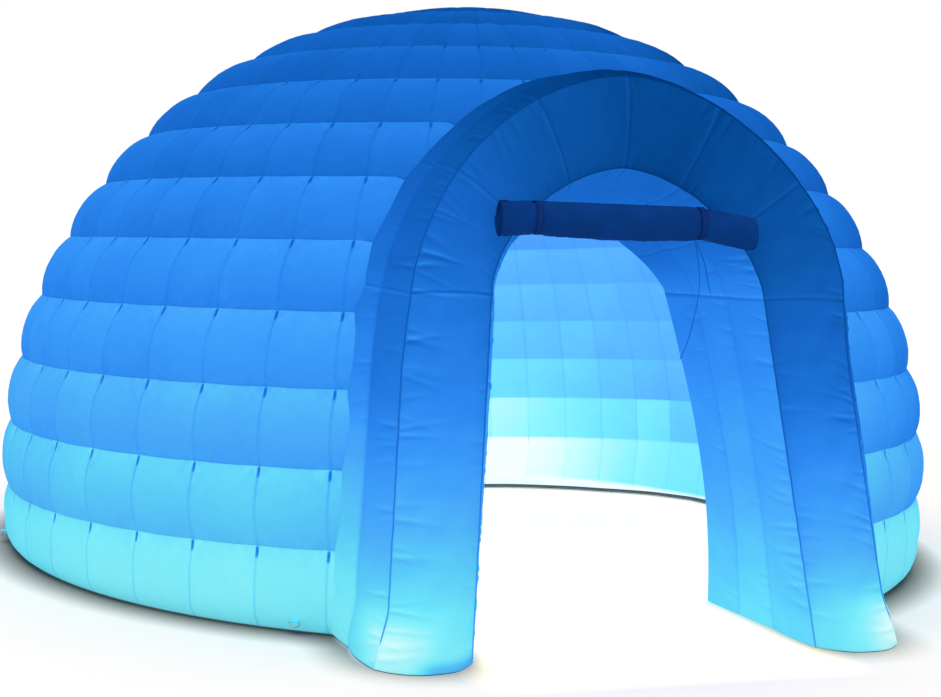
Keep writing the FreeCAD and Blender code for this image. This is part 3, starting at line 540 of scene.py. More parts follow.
def cut(grid, line_x, line_z):
    """Takes the passage out of a skin's grid. Its edge is moved onto the line."""
    p = grid["points"]
    x, y, z = p[..., 0], p[..., 1], p[..., 2]
    right = slice(0, len(line_x) // 2)
    wide = np.interp(z, line_z[right], line_x[right])
    within = (np.abs(x) < wide) & (z < line_z.max()) & (y < AXIS_Y - 0.5)
    if not within.any():
        return
    corners = quads(np.arange(within.size).reshape(within.shape), grid.get("wrap", False))
    grid["keep"] = ~within.reshape(-1)[corners].all(axis=1)
    touched = np.zeros(within.size, bool)
    touched[corners[grid["keep"]]] = True
    line = np.stack([line_x, line_z], 1)
    flat = p.reshape(-1, 3)
    for i in np.nonzero(within.reshape(-1) & touched)[0]:
        px, py, pz = flat[i]
        radius = math.dist((px, py, pz), (0, AXIS_Y, LIFT))
        near = line[np.argmin(((line - (px, pz)) ** 2).sum(1))]
        height = near[1] if pz > GROUND + 0.001 else pz
        depth = radius**2 - near[0] ** 2 - (height - LIFT) ** 2
        flat[i] = (near[0], AXIS_Y - math.sqrt(depth), height)


# Dome


def seam_level(seam, radius):
    """Elevation of a ring seam, in radians."""
    if seam == 0:
        return math.asin((GROUND - LIFT) / radius)
    return FIRST_SEAM + seam * ROW_STEP


def column_shares(width, offsets, caps):
    """Where a column of this width is sampled, as shares of it."""
    near = [min(o / width, cap) for o, cap in zip(offsets, caps)]
    half = [0.0, *near, 0.33]
    return np.array([*half, 0.5, *[1 - s for s in half[:0:-1]]])


def sagged(x, y, z, share, turn=SAG_TURN):
    """Directions from the dome's centre, turned by the slope of its rings."""
    back, left = (angle * share for angle in turn)
    x, z = x - left * z, z + left * x
    y, z = y - back * z, z + back * y
    size = np.sqrt(x**2 + y**2 + z**2)
    return x / size, y / size, z / size


def ring_cells(row, radius, rows, offsets, caps):
    """Samples of one ring of cells: shares of its height, levels, turns round the
    dome, shares of a cell, cell numbers, distances to the nearest column seam and
    to the seams above and below, and uv."""
    low, high = seam_level(row, radius), seam_level(row + 1, radius)
    share = rows[:, None]
    level = low + (high - low) * share
    step = (high - low) * radius
    width = radius * math.cos((low + high) / 2) * COLUMN_STEP
    shares = column_shares(width, offsets, caps)
    turn = ((np.arange(COLUMNS)[:, None] + shares) * COLUMN_STEP).reshape(1, -1)
    in_cell = np.tile(shares, COLUMNS)[None]
    cell = np.repeat(np.arange(COLUMNS), len(shares))
    away = np.minimum(in_cell, 1 - in_cell) * width
    uv = pair(closed(turn) * width / COLUMN_STEP, level * radius)
    return share, level, turn, in_cell, cell, away, (1 - share) * step, share * step, uv


def heading(level, turn):
    """Unit vector at an elevation and a turn round the dome from the entrance."""
    flat = np.cos(level)
    return flat * np.sin(turn), -flat * np.cos(turn), np.sin(level) + 0 * turn


def placed(x, y, z, radius):
    """Points at a distance from the dome's centre, none below the ground."""
    points = np.stack([x * radius, y * radius + AXIS_Y, z * radius + LIFT], -1)
    points[..., 2] = np.maximum(points[..., 2], GROUND)
    return points


# Where a row is sampled, as shares of its height, and how it looks.
OUTER_ROWS = np.array(
    [0, 0.03, 0.08, 0.16, 0.28, 0.42, 0.56, 0.68, 0.76, 0.81, 0.845, 0.88, 0.93, 0.97, 1]
)
OUTER_LIT = (0.98, 0.80, 0.69, 0.60, 0.54, 0.48, 0.42, 0.37, 0.32, 0.30, 0.25)
# Painted shade on the dome's right side: the rows darkened there, and by how much.
DARK_ROWS = (0, 1, 2, 3, 4, 7, 10)
RIGHT_DARK = (0.05, 0.19, 0.22, 0.13, 0.17, 0.10, 0.18)  # of those rows
PLUMP = (0.036,) * 7 + (0.035, 0.032, 0.027, 0.021)  # how far each row swells
SLIT = 0.052  # length of the dark slit under each crossing of two seams


def outer_row(row):
    """One ring of swollen cells, as a grid."""
    share, level, turn, in_cell, cell, away, to_top, to_foot, uv = ring_cells(
        row, OUTER_R, OUTER_ROWS, (0.0035, 0.009, 0.024), (0.035, 0.085, 0.17)
    )
    draw = np.random.default_rng(100 + row)
    fullness = draw.uniform(0.93, 1.06, COLUMNS)[cell]
    tone = draw.uniform(-0.014, 0.014, COLUMNS)[cell]
    above_first = row > 0
    middle = arc(in_cell)
    sag = -0.0010 * middle
    level = level + sag * above_first * (1 - share) + sag * share

    swell = PLUMP[row] * arc(share, 2.3)
    if not above_first:  # the foot bulges low down, then falls steeply
        under = np.clip(1 - share / 0.30, 0, 1)
        swell = np.where(share < 0.30, 0.040 * (1 - under**2.6), np.maximum(swell, 0.030))
        swell = np.where(share > 0.5, 0.036 * arc(share, 2.3), swell)
    swell = swell * (1 + (fullness - 1) * middle)
    pinch = 0.62 * bell(away / 0.026) * bell(to_top / 0.07)
    tuck = 0.35 * bell(away / 0.030) * bell(to_foot / 0.05) * above_first
    groove = 0.11 * np.exp(-away / 0.018)
    slit = (to_top < SLIT) & (away < 0.004)
    swell = swell * np.clip(1 - pinch - tuck - groove - 0.25 * slit, 0, 1)

    x, y, z = heading(level, turn)
    loose = np.exp(-to_top / 0.07) + 0.6 * np.exp(-to_foot / 0.05)
    wrinkle = ripple(x * OUTER_R, y * OUTER_R, z * OUTER_R, 0.11, 5)
    radius = OUTER_R + 0.0006 + swell
    radius = radius + 0.0024 * wrinkle * (0.25 + loose) * np.clip(swell / 0.01, 0, 1)
    points = placed(*sagged(x, y, z, 1.0 if above_first else share), radius)

    from_door = np.abs((turn + math.pi) % math.tau - math.pi)
    # Each row above the foot is painted lighter towards its top: painted shading of its
    # bulge.
    lit = OUTER_LIT[row] + tone + 0.10 * (share - 0.5) * above_first
    # painted shade on the right side
    lit = lit - smooth(np.sin(turn), 0.3, 0.9) * np.interp(row, DARK_ROWS, RIGHT_DARK)
    if not above_first:
        lit = lit - 0.06 * (2 * share - 1) ** 2
    # Towards the sides and back each row's light is drawn 30% of the way to 0.47, evening
    # out the rows: painted light and shade.
    lit = lit + (0.47 - lit) * 0.30 * smooth(from_door, 0.9, 1.9)
    line = 0.08 + 0.14 * smooth(share, 0.45, 0.85) if above_first else 0.17
    cut_ends = smooth(to_top, 0.0, 0.006) * (1 - smooth(to_top, SLIT * 0.7, SLIT))
    return {
        "points": points,
        "wrap": True,
        "uv": uv,
        # wrinkles near the seams are painted lighter and darker as well: painted shading
        "lit": lit + 0.010 * wrinkle * loose,
        "mark": np.maximum(bell(away / 0.0035) * line, 0.66 * slit * cut_ends),
        "off": away,
        "run": level * OUTER_R,
        "loose": np.clip(loose * bell(away / 0.10), 0, 1),
    }


ROOM_ROWS = np.array([0, 0.04, 0.12, 0.26, 0.42, 0.58, 0.74, 0.88, 0.96, 1])
ROOM_TONES = (0.045, 0.05, 0.03, 0.014)  # rows 0 to 2, and the rows above
ROOM_LIT = (1.21, 0.970, 0.80, 0.75, 0.72, 0.69, 0.62, 0.55, 0.49, 0.44, 0.40)
ROOM_FLARE = (0.28, 0.15, 0.08, 0.05, 0.03, 0.02, 0, 0, 0, 0, 0)
GLARE_TURN = 190  # degrees round the dome to the brightest part of the room


def room_row(row):
    """One ring of the room's inner wall, swollen into the room."""
    share, level, turn, _, cell, away, to_top, to_foot, uv = ring_cells(
        row, ROOM_R, ROOM_ROWS, (0.004, 0.014), (0.05, 0.14)
    )
    draw = np.random.default_rng(300 + row)
    tone = draw.uniform(-1, 1, COLUMNS)[cell] * ROOM_TONES[min(row, 3)]
    radius = ROOM_R - 0.014 * arc(share, 2.2)
    radius = radius + 0.006 * np.exp(-away / 0.016) * smooth(share, 0, 0.08)
    x, y, z = heading(level, turn)
    radius = radius + 0.0016 * ripple(x * ROOM_R, y * ROOM_R, z * ROOM_R, 0.12, 8)
    from_glare = np.abs(np.degrees(turn) - GLARE_TURN)
    lit = ROOM_LIT[row] + tone + ROOM_FLARE[row] * (1 - 2 * smooth(from_glare, 25, 75))
    # Each row is painted lighter towards its top: painted shading of its bulge.
    lit = lit + 0.05 * (share - 0.5)
    if row == 0:  # the lowest 3 cm glow white, as bright as the lit cloth gets: painted light
        lit = lit + (BRIGHTEST - lit) * smooth(0.030 - to_foot, 0, 0.004)
    return {
        "points": placed(*sagged(x, y, z, 1.0 if row else share, ROOM_TURN), radius),
        "wrap": True,
        "uv": uv,
        "lit": lit,
        "mark": 0.06 * bell(away / 0.005) + 0.04 * bell(to_top / 0.008),
        "off": away,
        "run": level * ROOM_R,
    }


GORES = 12


def crown_grid(radius, puff, lit, slope):
    """The round panel at the top: gores that meet in the middle."""
    share = np.linspace(0, 1, 16)[:, None] ** 0.9
    level = CROWN_EDGE + (math.pi / 2 - CROWN_EDGE) * share * 0.998
    turn = np.linspace(0, math.tau, GORES * 12, endpoint=False)[None]
    in_gore = (turn * GORES / math.tau) % 1
    away = np.minimum(in_gore, 1 - in_gore) * radius * np.cos(level) * math.tau / GORES
    swell = puff * np.sin(share * math.pi / 2) ** 0.7
    groove = math.copysign(0.004, puff) * np.exp(-away / 0.012)
    out = radius + swell - groove * smooth(share, 0, 0.1)
    around = closed(turn) * radius * np.cos(level)
    return {
        "points": placed(*sagged(*heading(level, turn), 1.0, slope), out),
        "wrap": True,
        "uv": pair(around, level * radius),
        "lit": lit,
        "mark": 0.45 * bell(away / 0.004),
        "off": away,
        "run": level * radius,
    }


def belt_area(radius, first, last):
    """Area of a belt of a sphere: what its panels are cut to, less their swell."""
    heights = [radius * math.sin(seam_level(s, radius)) for s in (first, last)]
    return math.tau * radius * (heights[1] - heights[0])


# The ground flap's front edge: degrees round the dome and distance from its axis.
FLAP_TURNS = (100, 113, 121.5, 131, 139.5, 148.5, 159, 180)
FLAP_EDGE = (1.952, 1.945, 1.872, 1.742, 1.658, 1.578, 1.478, 1.40)
FLAP_SEWN = 1.965  # where it meets the wall
HEM_R = 0.011


def make_flap():
    """The room's ground flap, widest at the back, glowing white: painted light. Along its
    front edge a dark grey hem tube stands in for a shadow line: painted shadow.
    """
    half = np.linspace(FLAP_TURNS[0], 180, 120)
    turn = np.radians(np.concatenate([half, 360 - half[-2::-1]]))[:, None]
    edge = np.interp(np.degrees(np.minimum(turn, math.tau - turn)), FLAP_TURNS, FLAP_EDGE)
    edge = edge + 0.004 * ripple(np.sin(turn), np.cos(turn), 0 * turn, 0.3, 91)
    share = np.linspace(0, 1, 14)[None]
    radius = edge + (FLAP_SEWN - edge) * share
    x, y = radius * np.sin(turn), AXIS_Y - radius * np.cos(turn)
    z = FLAP_THICK * (1 + 1.2 * (1 - share) ** 6) + 0.0022 * ripple(x, y, 0 * x, 0.25, 92)
    run = np.cumsum(np.hypot(np.gradient(x[:, 0]), np.gradient(y[:, 0])))[:, None]
    cloth = {
        "points": np.stack([x, y, np.maximum(z, GROUND)], -1),
        "uv": pair(run, radius),
        # the flap glows at the brightest white of the lit cloth: painted light
        "lit": BRIGHTEST - 0.02 * ripple(x, y, 0 * x, 0.4, 93),
    }
    flap = grid_piece("room_ground_flap", [cloth], ROOM)

    # The hem: a dark grey tube along the flap's front edge, a painted shadow line.
    around = np.linspace(0, math.tau, 10, endpoint=False)[None]
    ring = edge - 0.004 + HEM_R * np.cos(around)
    x, y = ring * np.sin(turn), AXIS_Y - ring * np.cos(turn)
    z = 0.0145 + 0.0105 * np.sin(around) + 0 * turn
    turned = closed(around) * HEM_R
    uv = pair(turned, run)
    tube = {"points": np.stack([x, y, z], -1), "wrap": True, "uv": uv}
    shadow_hem = grid_piece("room_flap_shadow_hem", [tube], HEM_SHADOW_LINE, thick=0)
    tag(shadow_hem, "room_cloth")
    tag(flap, "room_cloth")


def make_dome():
    """Both skins, each in three belts of rows and a crown panel."""
    outer_gap = moved(ARCH, lambda z: flare(z) - 0.035)
    room_gap = moved(DOOR, lambda z: -narrowing(z))
    # name, CAD name, radius, rows, passage, share of a low belt that it leaves
    skins = (
        ("dome", "outer", OUTER_R, outer_row, outer_gap, 0.93),
        ("room", "inner", ROOM_R, room_row, room_gap, 0.92),
    )
    # material, slot, the crown's swell and light, the rings' slope
    looks = {
        "dome": (SKIN, "outer_cloth", 0.020, 0.15, SAG_TURN),
        "room": (ROOM, "room_cloth", -0.012, 0.38, ROOM_TURN),
    }
    for belt, first, last in BELTS:
        for name, node, radius, make_row, passage, left in skins:
            rows = [make_row(k) for k in range(first, last)]
            for grid in rows:
                cut(grid, *passage)
            material, slot = looks[name][:2]
            piece = grid_piece(f"{name}_skin_{belt}", rows, material, flip=name == "room")
            tag(piece, slot, f"{node}_skin_{belt}")
            area = belt_area(radius, first, last) * (left if first < 8 else 1.0)

    for name, node, radius, *_ in skins:
        material, slot, puff, lit, slope = looks[name]
        grid = crown_grid(radius, puff, lit, slope)
        piece = grid_piece(f"{name}_crown", [grid], material, flip=name == "room")
        tag(piece, slot, f"{node}_crown_panel")
        across = 2 * radius * (math.pi / 2 - CROWN_EDGE)
        area = math.pi / 4 * across**2


# Arch


def length_along(x, z):
    steps = np.hypot(np.diff(x), np.diff(z))
    return np.concatenate([[0], np.cumsum(steps)])


SWELL_HEIGHTS = (0, 0.12, 0.4, SPRING, SPRING + ARCH["rise"])


def swell_at(z):
    """How far the face stands forward of its edges at this height."""
    return np.interp(z, SWELL_HEIGHTS, (0.112, 0.100, 0.075, 0.050, 0.038))


def creases(s, t, count, seed, reach, high, wide, slant):
    """Short puckers that start at one edge of a band and die out across it.
    s runs along the band and t, in metres, away from that edge."""
    draw = np.random.default_rng(seed)
    total = np.zeros(s.shape)
    for centre in np.sort(draw.uniform(0, s.max(), count)):
        long = reach * draw.uniform(0.5, 1.3)
        narrow = wide * draw.uniform(0.7, 1.4)
        lean = slant * draw.uniform(-0.4, 1.3)
        fade = bell(t / long) * (1 - np.exp(-t / 0.006))
        near = bell((s - centre - lean * t) / narrow)
        total += draw.uniform(0.35, 1.0) * high * near * fade
    return total


def seam_places(s):
    """Distance along a band of each cross seam."""
    return np.interp(CROSS_SEAMS, STATION_ANGLE, s)


def cross_dip(s, depth, wide):
    """Pulls a band in at the arch's cross seams."""
    return sum(depth * np.exp(-np.abs(s - at) / wide) for at in seam_places(s))


def seam_mark(s, wide=0.0035, beside=0.0):
    """1 on a cross seam, or on a line beside it, fading within wide."""
    marks = [bell((s - at - beside) / wide) for at in seam_places(s)]
    return np.max(marks, axis=0)[:, None]


def cross_off(s):
    """Distance from the nearest cross seam."""
    gaps = s[:, None] - seam_places(s)
    return gaps[np.arange(len(s)), np.abs(gaps).argmin(1)][:, None]


# How brightly the arch is lit, by height on its legs and by angle on its crown.
LEG_HEIGHTS = (0.0, 0.12, 0.28, 0.50, 0.70, 0.95, 1.10, 1.45)
LEFT_LIT = (0.91, 0.90, 0.85, 0.73, 0.64, 0.52, 0.46, 0.40)
RIGHT_LIT = (0.92, 0.87, 0.77, 0.63, 0.54, 0.42, 0.36, 0.28)
CROWN_ANGLES = (0, 20, 35, 62, 90, 118, 145, 180)
CROWN_LIT = (0.26, 0.18, 0.14, 0.09, 0.11, 0.17, 0.28, 0.39)


def arch_lit(x, z):
    """How brightly the arch's cloth is lit at each station."""
    angle = STATION_ANGLE
    right = np.interp(z, LEG_HEIGHTS, RIGHT_LIT)
    left = np.interp(z, LEG_HEIGHTS, LEFT_LIT)
    crown = np.interp(angle, CROWN_ANGLES, CROWN_LIT)
    share = smooth(angle, -12, 8) * (1 - smooth(angle, 172, 192))
    return np.where(x > 0, right, left) * (1 - share) + crown * share


def declare_band(points):
    """Works out how wide and long a band of the arch gets, and keeps neither."""
    wide = np.linalg.norm(np.diff(points, axis=1), axis=2).sum(1)
    long = np.linalg.norm(np.diff(points, axis=0), axis=2).sum(0)


def make_webs():
    """Flat webs across the arch at its cross seams, back to the room's skin."""
    door, arch = np.stack(stations(DOOR), 1), np.stack(stations(ARCH), 1)
    door_n, arch_n = (np.stack(outward(*line.T), 1) for line in (door, arch))
    share = np.linspace(0, 1, 22)[:, None]
    across = np.linspace(0, 1, 10)[None]
    back_r = ROOM_R + 0.012
    webs, area, widest = [], 0.0, 0.0
    for angle in CROSS_SEAMS:
        k = int(np.abs(STATION_ANGLE - angle).argmin())
        inward = 0.006 - narrowing(door[k][1]) * share
        outer = arch[k] + (flare(arch[k][1]) * share - 0.012) * arch_n[k]
        inner = door[k] + inward * door_n[k]
        spot = inner[:, None] + (outer - inner)[:, None] * across[..., None]
        x, z = spot[..., 0], spot[..., 1]
        front = front_y(z) + 0.004
        back = np.sqrt(np.maximum(back_r**2 - x**2 - (z - LIFT) ** 2, 0.01))
        depth = AXIS_Y - back - front
        y = front + depth * share
        buckle = 0.012 * ripple(x, y, z, 0.22, 81) * across * (1 - across)
        step = arch[k] - door[k]
        nx, nz = np.array([step[1], -step[0]]) / np.linalg.norm(step)
        wide = float(np.hypot(*(outer - inner).T).mean())
        area, widest = area + wide * float(depth.mean()), max(widest, wide)
        webs.append(
            {
                "points": np.stack([x + nx * buckle, y, z + nz * buckle], -1),
                "uv": pair(y - front, across * wide),
            }
        )
    piece = grid_piece("arch_web_panels", webs, WEB_CLOTH, 0.0012)
    tag(piece, "web_cloth", "arch_webs")


TAB_WIDE = 0.036


def make_tabs():
    """Webbing loops that hold the anchor rings, one for each ring."""
    # one loop as (distance out from the bar, height above it)
    path = [(-0.075, TAB_GAP + 0.004), (-0.05, TAB_GAP + 0.002), (-0.02, TAB_GAP)]
    for a in np.linspace(0, math.pi, 13):
        path.append((TAB_GAP * math.sin(a), TAB_GAP * math.cos(a)))
    path += [(-0.02, -TAB_GAP), (-0.05, -TAB_GAP), (-0.075, -TAB_GAP)]
    width = np.linspace(-TAB_WIDE / 2, TAB_WIDE / 2, 7)
    loops = []
    for number in range(1, 7):
        low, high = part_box(f"anchor_ring_{number}")
        middle = (low + high) / 2
        out = Vector((middle.x, middle.y - AXIS_Y, 0)).normalized()
        along = np.array((-out.y, out.x, 0))
        bar = Vector((0, AXIS_Y, TAB_LEVEL)) + out * TAB_REACH
        spots = np.array([bar + out * r + Vector((0, 0, h)) for r, h in path])
        points = spots[:, None] + width[None, :, None] * along
        x, y, z = np.moveaxis(points, -1, 0)
        points[..., 2] += 0.0006 * ripple(x, y, 0 * z, 0.03, 83)
        run = length_along(spots[:, 0] + spots[:, 1], spots[:, 2])
        uv = pair(width / TAB_WIDE + 0.5, run[:, None])
        loops.append({"points": points, "uv": uv})
    tabs = grid_piece("anchor_tabs_webbing", loops, SKY_WEB, 0.0014, flip=True)
    tag(tabs, "webbing", "anchor_tabs")


def cosine_steps(count):
    """Shares from 0 to 1, close together at both ends."""
    return (1 - np.cos(np.linspace(0, math.pi, count))) / 2


def lit_from(crease, s, much):
    """Light and shade of creases: the side that faces up is darker."""
    slope = np.gradient(crease, axis=0) / np.gradient(s)[:, None]
    return -much * slope * np.where(STATION_ANGLE < 90, 1.0, -1.0)[:, None]


def face_grid():
    """The front face: from the doorway's edge, t 0, to the arch's edge, t 1."""
    door, arch = np.stack(stations(DOOR), -1), np.stack(stations(ARCH), -1)
    s = length_along(*((door + arch) / 2).T)
    t = cosine_steps(30)[None]
    x, z = (door[:, None, k] + (arch - door)[:, None, k] * t for k in (0, 1))
    wide = np.hypot(*(arch - door).T)[:, None]
    grid_s = np.broadcast_to(s[:, None], x.shape)
    swell = swell_at(z) * arc(t, 2.4) * (1 - cross_dip(s, 0.16, 0.035)[:, None])
    crease = creases(grid_s, (1 - t) * wide, 92, 21, 0.12, 0.0062, 0.009, 0.35)
    crease += creases(grid_s, t * wide, 50, 22, 0.07, 0.0034, 0.008, -0.3)
    crease += 0.0022 * ripple(x, z, 0 * x, 0.16, 23)
    crease *= 1 - 0.55 * smooth(z, 1.55, 2.0)
    swell = swell + crease * (1 - np.exp(-np.minimum(t, 1 - t) * wide / 0.01))
    points = np.stack([x, front_y(z), z], -1) + swell[..., None] * np.array(FACE_NORMAL)
    planted = 1 - smooth(z, 0.0, 0.14)
    points[..., 2] -= swell * FACE_NORMAL.z * planted
    points[..., 2] = np.maximum(points[..., 2], GROUND)

    lit = arch_lit(*arch.T)[:, None] + lit_from(crease, s, 0.19)
    hot = bell((z - 0.08) / 0.11) * bell((1 - t) * wide / 0.20)
    lit = lit + np.where(x < 0, 0.27, 0.38) * hot
    # Painted shade along the doorway's edge, and a painted highlight beside each cross
    # seam.
    lit = lit - 0.04 * np.exp(-t * wide / 0.03) + 0.05 * seam_mark(s, 0.006, 0.013)
    # Painted shade at the bottom of the left foot, on its doorway half, where it meets
    # the ground.
    under = (1 - smooth(z, 0.012, 0.060)) * (1 - smooth(t, 0.45, 0.75)) * (x < 0)
    return {
        "points": points,
        "uv": pair(t * wide, grid_s),
        "lit": lit - 0.22 * under,
        "mark": 0.46 * seam_mark(s),
        "off": cross_off(s),
        "run": t * wide,
    }


def side_band(form, sign, radius, seams, swells, seed, widening):
    """Cloth from a front outline back to a skin, in lobes, out of the wall for a
    sign of 1 and into the doorway for -1."""
    x, z = stations(form)
    nx, nz = (sign * n for n in outward(x, z))
    s = length_along(x, z)
    y0 = front_y(z)
    taper = widening(z)
    back_x, back_z = x + nx * taper, np.maximum(z + nz * taper, GROUND)
    y1 = AXIS_Y - np.sqrt(radius**2 - back_x**2 - (back_z - LIFT) ** 2)
    inner = cosine_steps(12)
    shares, swell = [], []
    for first, last, high in zip(seams, seams[1:], swells):
        keep = slice(0, -1) if last < 1 else slice(None)
        shares.append((first + (last - first) * inner)[keep])
        swell.append((high * arc(inner))[keep])
    share, swell = np.concatenate(shares)[None], np.concatenate(swell)[None]
    depth = (y1 - y0)[:, None]
    away = share * depth
    lowest = 0.25 + 0.75 * smooth(z, 0, 0.16)[:, None]
    lowest = np.where(share < seams[1], 0.5 + 0.5 * lowest, lowest)
    grow = swell * (1 - cross_dip(s, 0.14, 0.03)[:, None]) * lowest
    grid_s = np.broadcast_to(s[:, None], away.shape)
    crease = creases(grid_s, away, 80, seed, 0.11, 0.0058, 0.009, 0.4)
    for k, seam in enumerate(seams[1:-1]):
        off = away - seam * depth
        behind, ahead = np.where(off > 0, off, 9.0), np.where(off < 0, -off, 9.0)
        crease += creases(grid_s, behind, 40, seed + 2 + k, 0.07, 0.0030, 0.009, 0.3)
        crease += creases(grid_s, ahead, 40, seed + 5 + k, 0.06, 0.0026, 0.009, -0.3)
    crease += 0.0018 * ripple(grid_s, away, 0 * away, 0.14, seed + 9)
    crease *= 1 - 0.45 * smooth(z, 1.6, 2.0)[:, None]
    total = grow + crease * np.clip(swell / 0.008, 0, 1) + taper[:, None] * share
    px, pz = x[:, None] + nx[:, None] * total, z[:, None] + nz[:, None] * total
    mark = 0.26 * seam_mark(s)
    for seam in seams[1:-1]:
        mark = np.maximum(mark, 0.08 * bell((away - seam * depth) / 0.006))
    return {
        "points": np.stack([px, y0[:, None] + away, np.maximum(pz, GROUND)], -1),
        "uv": pair(away, grid_s),
        # The creases' light and shade, and a painted highlight beside each cross seam.
        "lit": lit_from(crease, s, 0.16) + 0.04 * seam_mark(s, 0.006, 0.013),
        "mark": mark,
        "off": cross_off(s),
        "run": away,
        "share": share,
    }


def arch_side_lit(grid):
    x, z = stations(ARCH)
    base, z = arch_lit(x, z)[:, None], z[:, None]
    lower = 1 - smooth(z, 0.9, 1.9)
    second = smooth(grid["share"], 0.53, 0.57)  # the lobe nearer the dome
    hot = bell((z - 0.10) / 0.13) * bell(grid["run"] / 0.14)
    top = smooth(z, 1.7, 2.3)
    # Painted light and shade: the side darker overall, its lobe nearer the dome lighter
    # and its top darker; glare from the strip at its foot.
    return base - 0.05 + 0.11 * second * (0.35 + 0.65 * lower) - 0.04 * top + 0.24 * hot


LINING_LIT = (0.85, 0.82, 0.77, 0.70, 0.64, 0.60, 0.55, 0.49)
LINING_SEAMS = (0.0, 0.36, 0.68, 1.0)
# Painted shading of the lining's lobes: the middle one lighter, the last one darker.
MIDDLE_TONE = 0.03  # how much brighter the middle lobe of a leg is


def lining_lit(grid):
    z = stations(DOOR)[1]
    legs = np.interp(z, LEG_HEIGHTS, LINING_LIT)
    crown = np.interp(z, (SPRING, 1.72, 2.0), (0.52, 0.36, 0.33))
    base = np.where(z > SPRING, crown, legs)[:, None]
    tone = 0.0
    # painted shading of the lobes
    for seam, much in zip(LINING_SEAMS[1:3], (MIDDLE_TONE, -MIDDLE_TONE)):
        tone = tone + much * smooth(grid["share"], seam - 0.01, seam + 0.01)
    lower = 1 - smooth(z, 0.7, 1.5)[:, None]
    return base + tone * (0.3 + 0.7 * lower)


def make_arch():
    """The arch's face with its piping, side and lining."""
    front = face_grid()
    face = grid_piece("arch_face", [front], FACE)
    parts = ("leg", "haunch", "shoulder", "crown")
    names = [f"arch_face_{p}_{hand}" for p in parts for hand in ("left", "right")]
    tag(face, "arch_cloth", *names)

    seams, swells = (0.0, 0.55, 1.0), (0.034, 0.026)
    side = side_band(ARCH, 1, OUTER_R - 0.030, seams, swells, 31, flare)
    side["lit"] = side["lit"] + arch_side_lit(side)
    piece = grid_piece("arch_side", [side], FACE, flip=True)
    tag(piece, "arch_cloth", "arch_side_crown", "arch_side_legs")
    declare_band(side["points"])

    swells = (0.022, 0.022, 0.018)
    lining = side_band(DOOR, -1, ROOM_R - 0.016, LINING_SEAMS, swells, 41, narrowing)
    lining["lit"] = lining["lit"] + lining_lit(lining)
    inner = grid_piece("arch_lining", [lining], LINING)
    tag(inner, "lining_cloth", "arch_lining_crown", "arch_lining_legs")
    declare_band(lining["points"])

    tubes = [piping_tube(DOOR, -1), piping_tube(ARCH, 1)]
    trim = grid_piece("arch_piping", tubes, PIPING, thick=0)
    tag(trim, "arch_cloth")
    declare_band(front["points"])
    return face


PIPING_R = 0.0032


def piping_tube(form, sign):
    """Sewn cord along an edge of the face, following every second station."""
    x, z = stations(form)
    lit = (arch_lit(x, z) * 0.76 - 0.03)[::2]
    x, z = x[::2], z[::2]
    nx, nz = outward(x, z)
    turn = np.linspace(0, math.tau, 8, endpoint=False)[None]
    centre = np.stack([x, front_y(z), z], -1)[:, None]
    side = np.stack([nx, 0 * nx, nz], -1)[:, None] * sign
    ahead = np.array(FACE_NORMAL)[None, None]
    s = length_along(x, z)
    wobble = 0.0012 * ripple(s, 0 * s, 0 * s, 0.09, 51)[:, None, None]
    at = centre + side * (0.001 + wobble) + ahead * 0.002
    offset = np.cos(turn)[..., None] * side + np.sin(turn)[..., None] * ahead
    full = smooth(z, 0.07, 0.13) if sign > 0 else np.ones(len(z))  # thin at the foot
    full = (0.12 + 0.88 * full)[:, None, None]
    return {
        "points": at + PIPING_R * full * offset - 0.004 * (1 - full) * (ahead + side),
        "wrap": True,
        "uv": pair(closed(turn) * PIPING_R, s[:, None]),
        "lit": lit[:, None],
    }


# Camera and cords

CAMERA_AT = Vector((-2.648, -8.4394, 1.743))
CAMERA_YAW, CAMERA_PITCH, CAMERA_ROLL = (math.radians(a) for a in (17.32, -4.52, 1.98))
LENS = 61.1

LONG_TAIL = (
    (0.298, -2.159, 1.743),
    (0.306, -2.148, 1.712),
    (0.316, -2.143, 1.676),
    (0.325, -2.145, 1.632),
    (0.331, -2.149, 1.584),
    (0.337, -2.150, 1.534),
    (0.338, -2.147, 1.480),
    (0.334, -2.143, 1.426),
    (0.325, -2.141, 1.372),
    (0.313, -2.144, 1.320),
    (0.297, -2.149, 1.270),
    (0.279, -2.152, 1.224),
    (0.262, -2.151, 1.186),
)
SHORT_TAIL = (
    (0.284, -2.159, 1.743),
    (0.298, -2.144, 1.716),
    (0.318, -2.132, 1.688),
    (0.340, -2.130, 1.656),
    (0.358, -2.134, 1.618),
    (0.370, -2.138, 1.578),
    (0.379, -2.138, 1.538),
    (0.389, -2.134, 1.502),
    (0.401, -2.131, 1.472),
)


def make_camera():
    data = bpy.data.cameras.new("view")
    data.lens = LENS
    data.sensor_width = 36
    data.clip_start, data.clip_end = 0.05, 400
    camera = link(bpy.data.objects.new("view", data))
    flat = Vector((math.sin(CAMERA_YAW), math.cos(CAMERA_YAW), 0))
    ahead = flat * math.cos(CAMERA_PITCH) + Vector((0, 0, math.sin(CAMERA_PITCH)))
    right = Vector((math.cos(CAMERA_YAW), -math.sin(CAMERA_YAW), 0))
    up = right.cross(ahead)
    cos, sin = math.cos(CAMERA_ROLL), math.sin(CAMERA_ROLL)
    right, up = right * cos + up * sin, up * cos - right * sin
    turn = Matrix((right, up, -ahead)).transposed().to_4x4()
    camera.matrix_world = Matrix.Translation(CAMERA_AT) @ turn
    bpy.context.scene.camera = camera


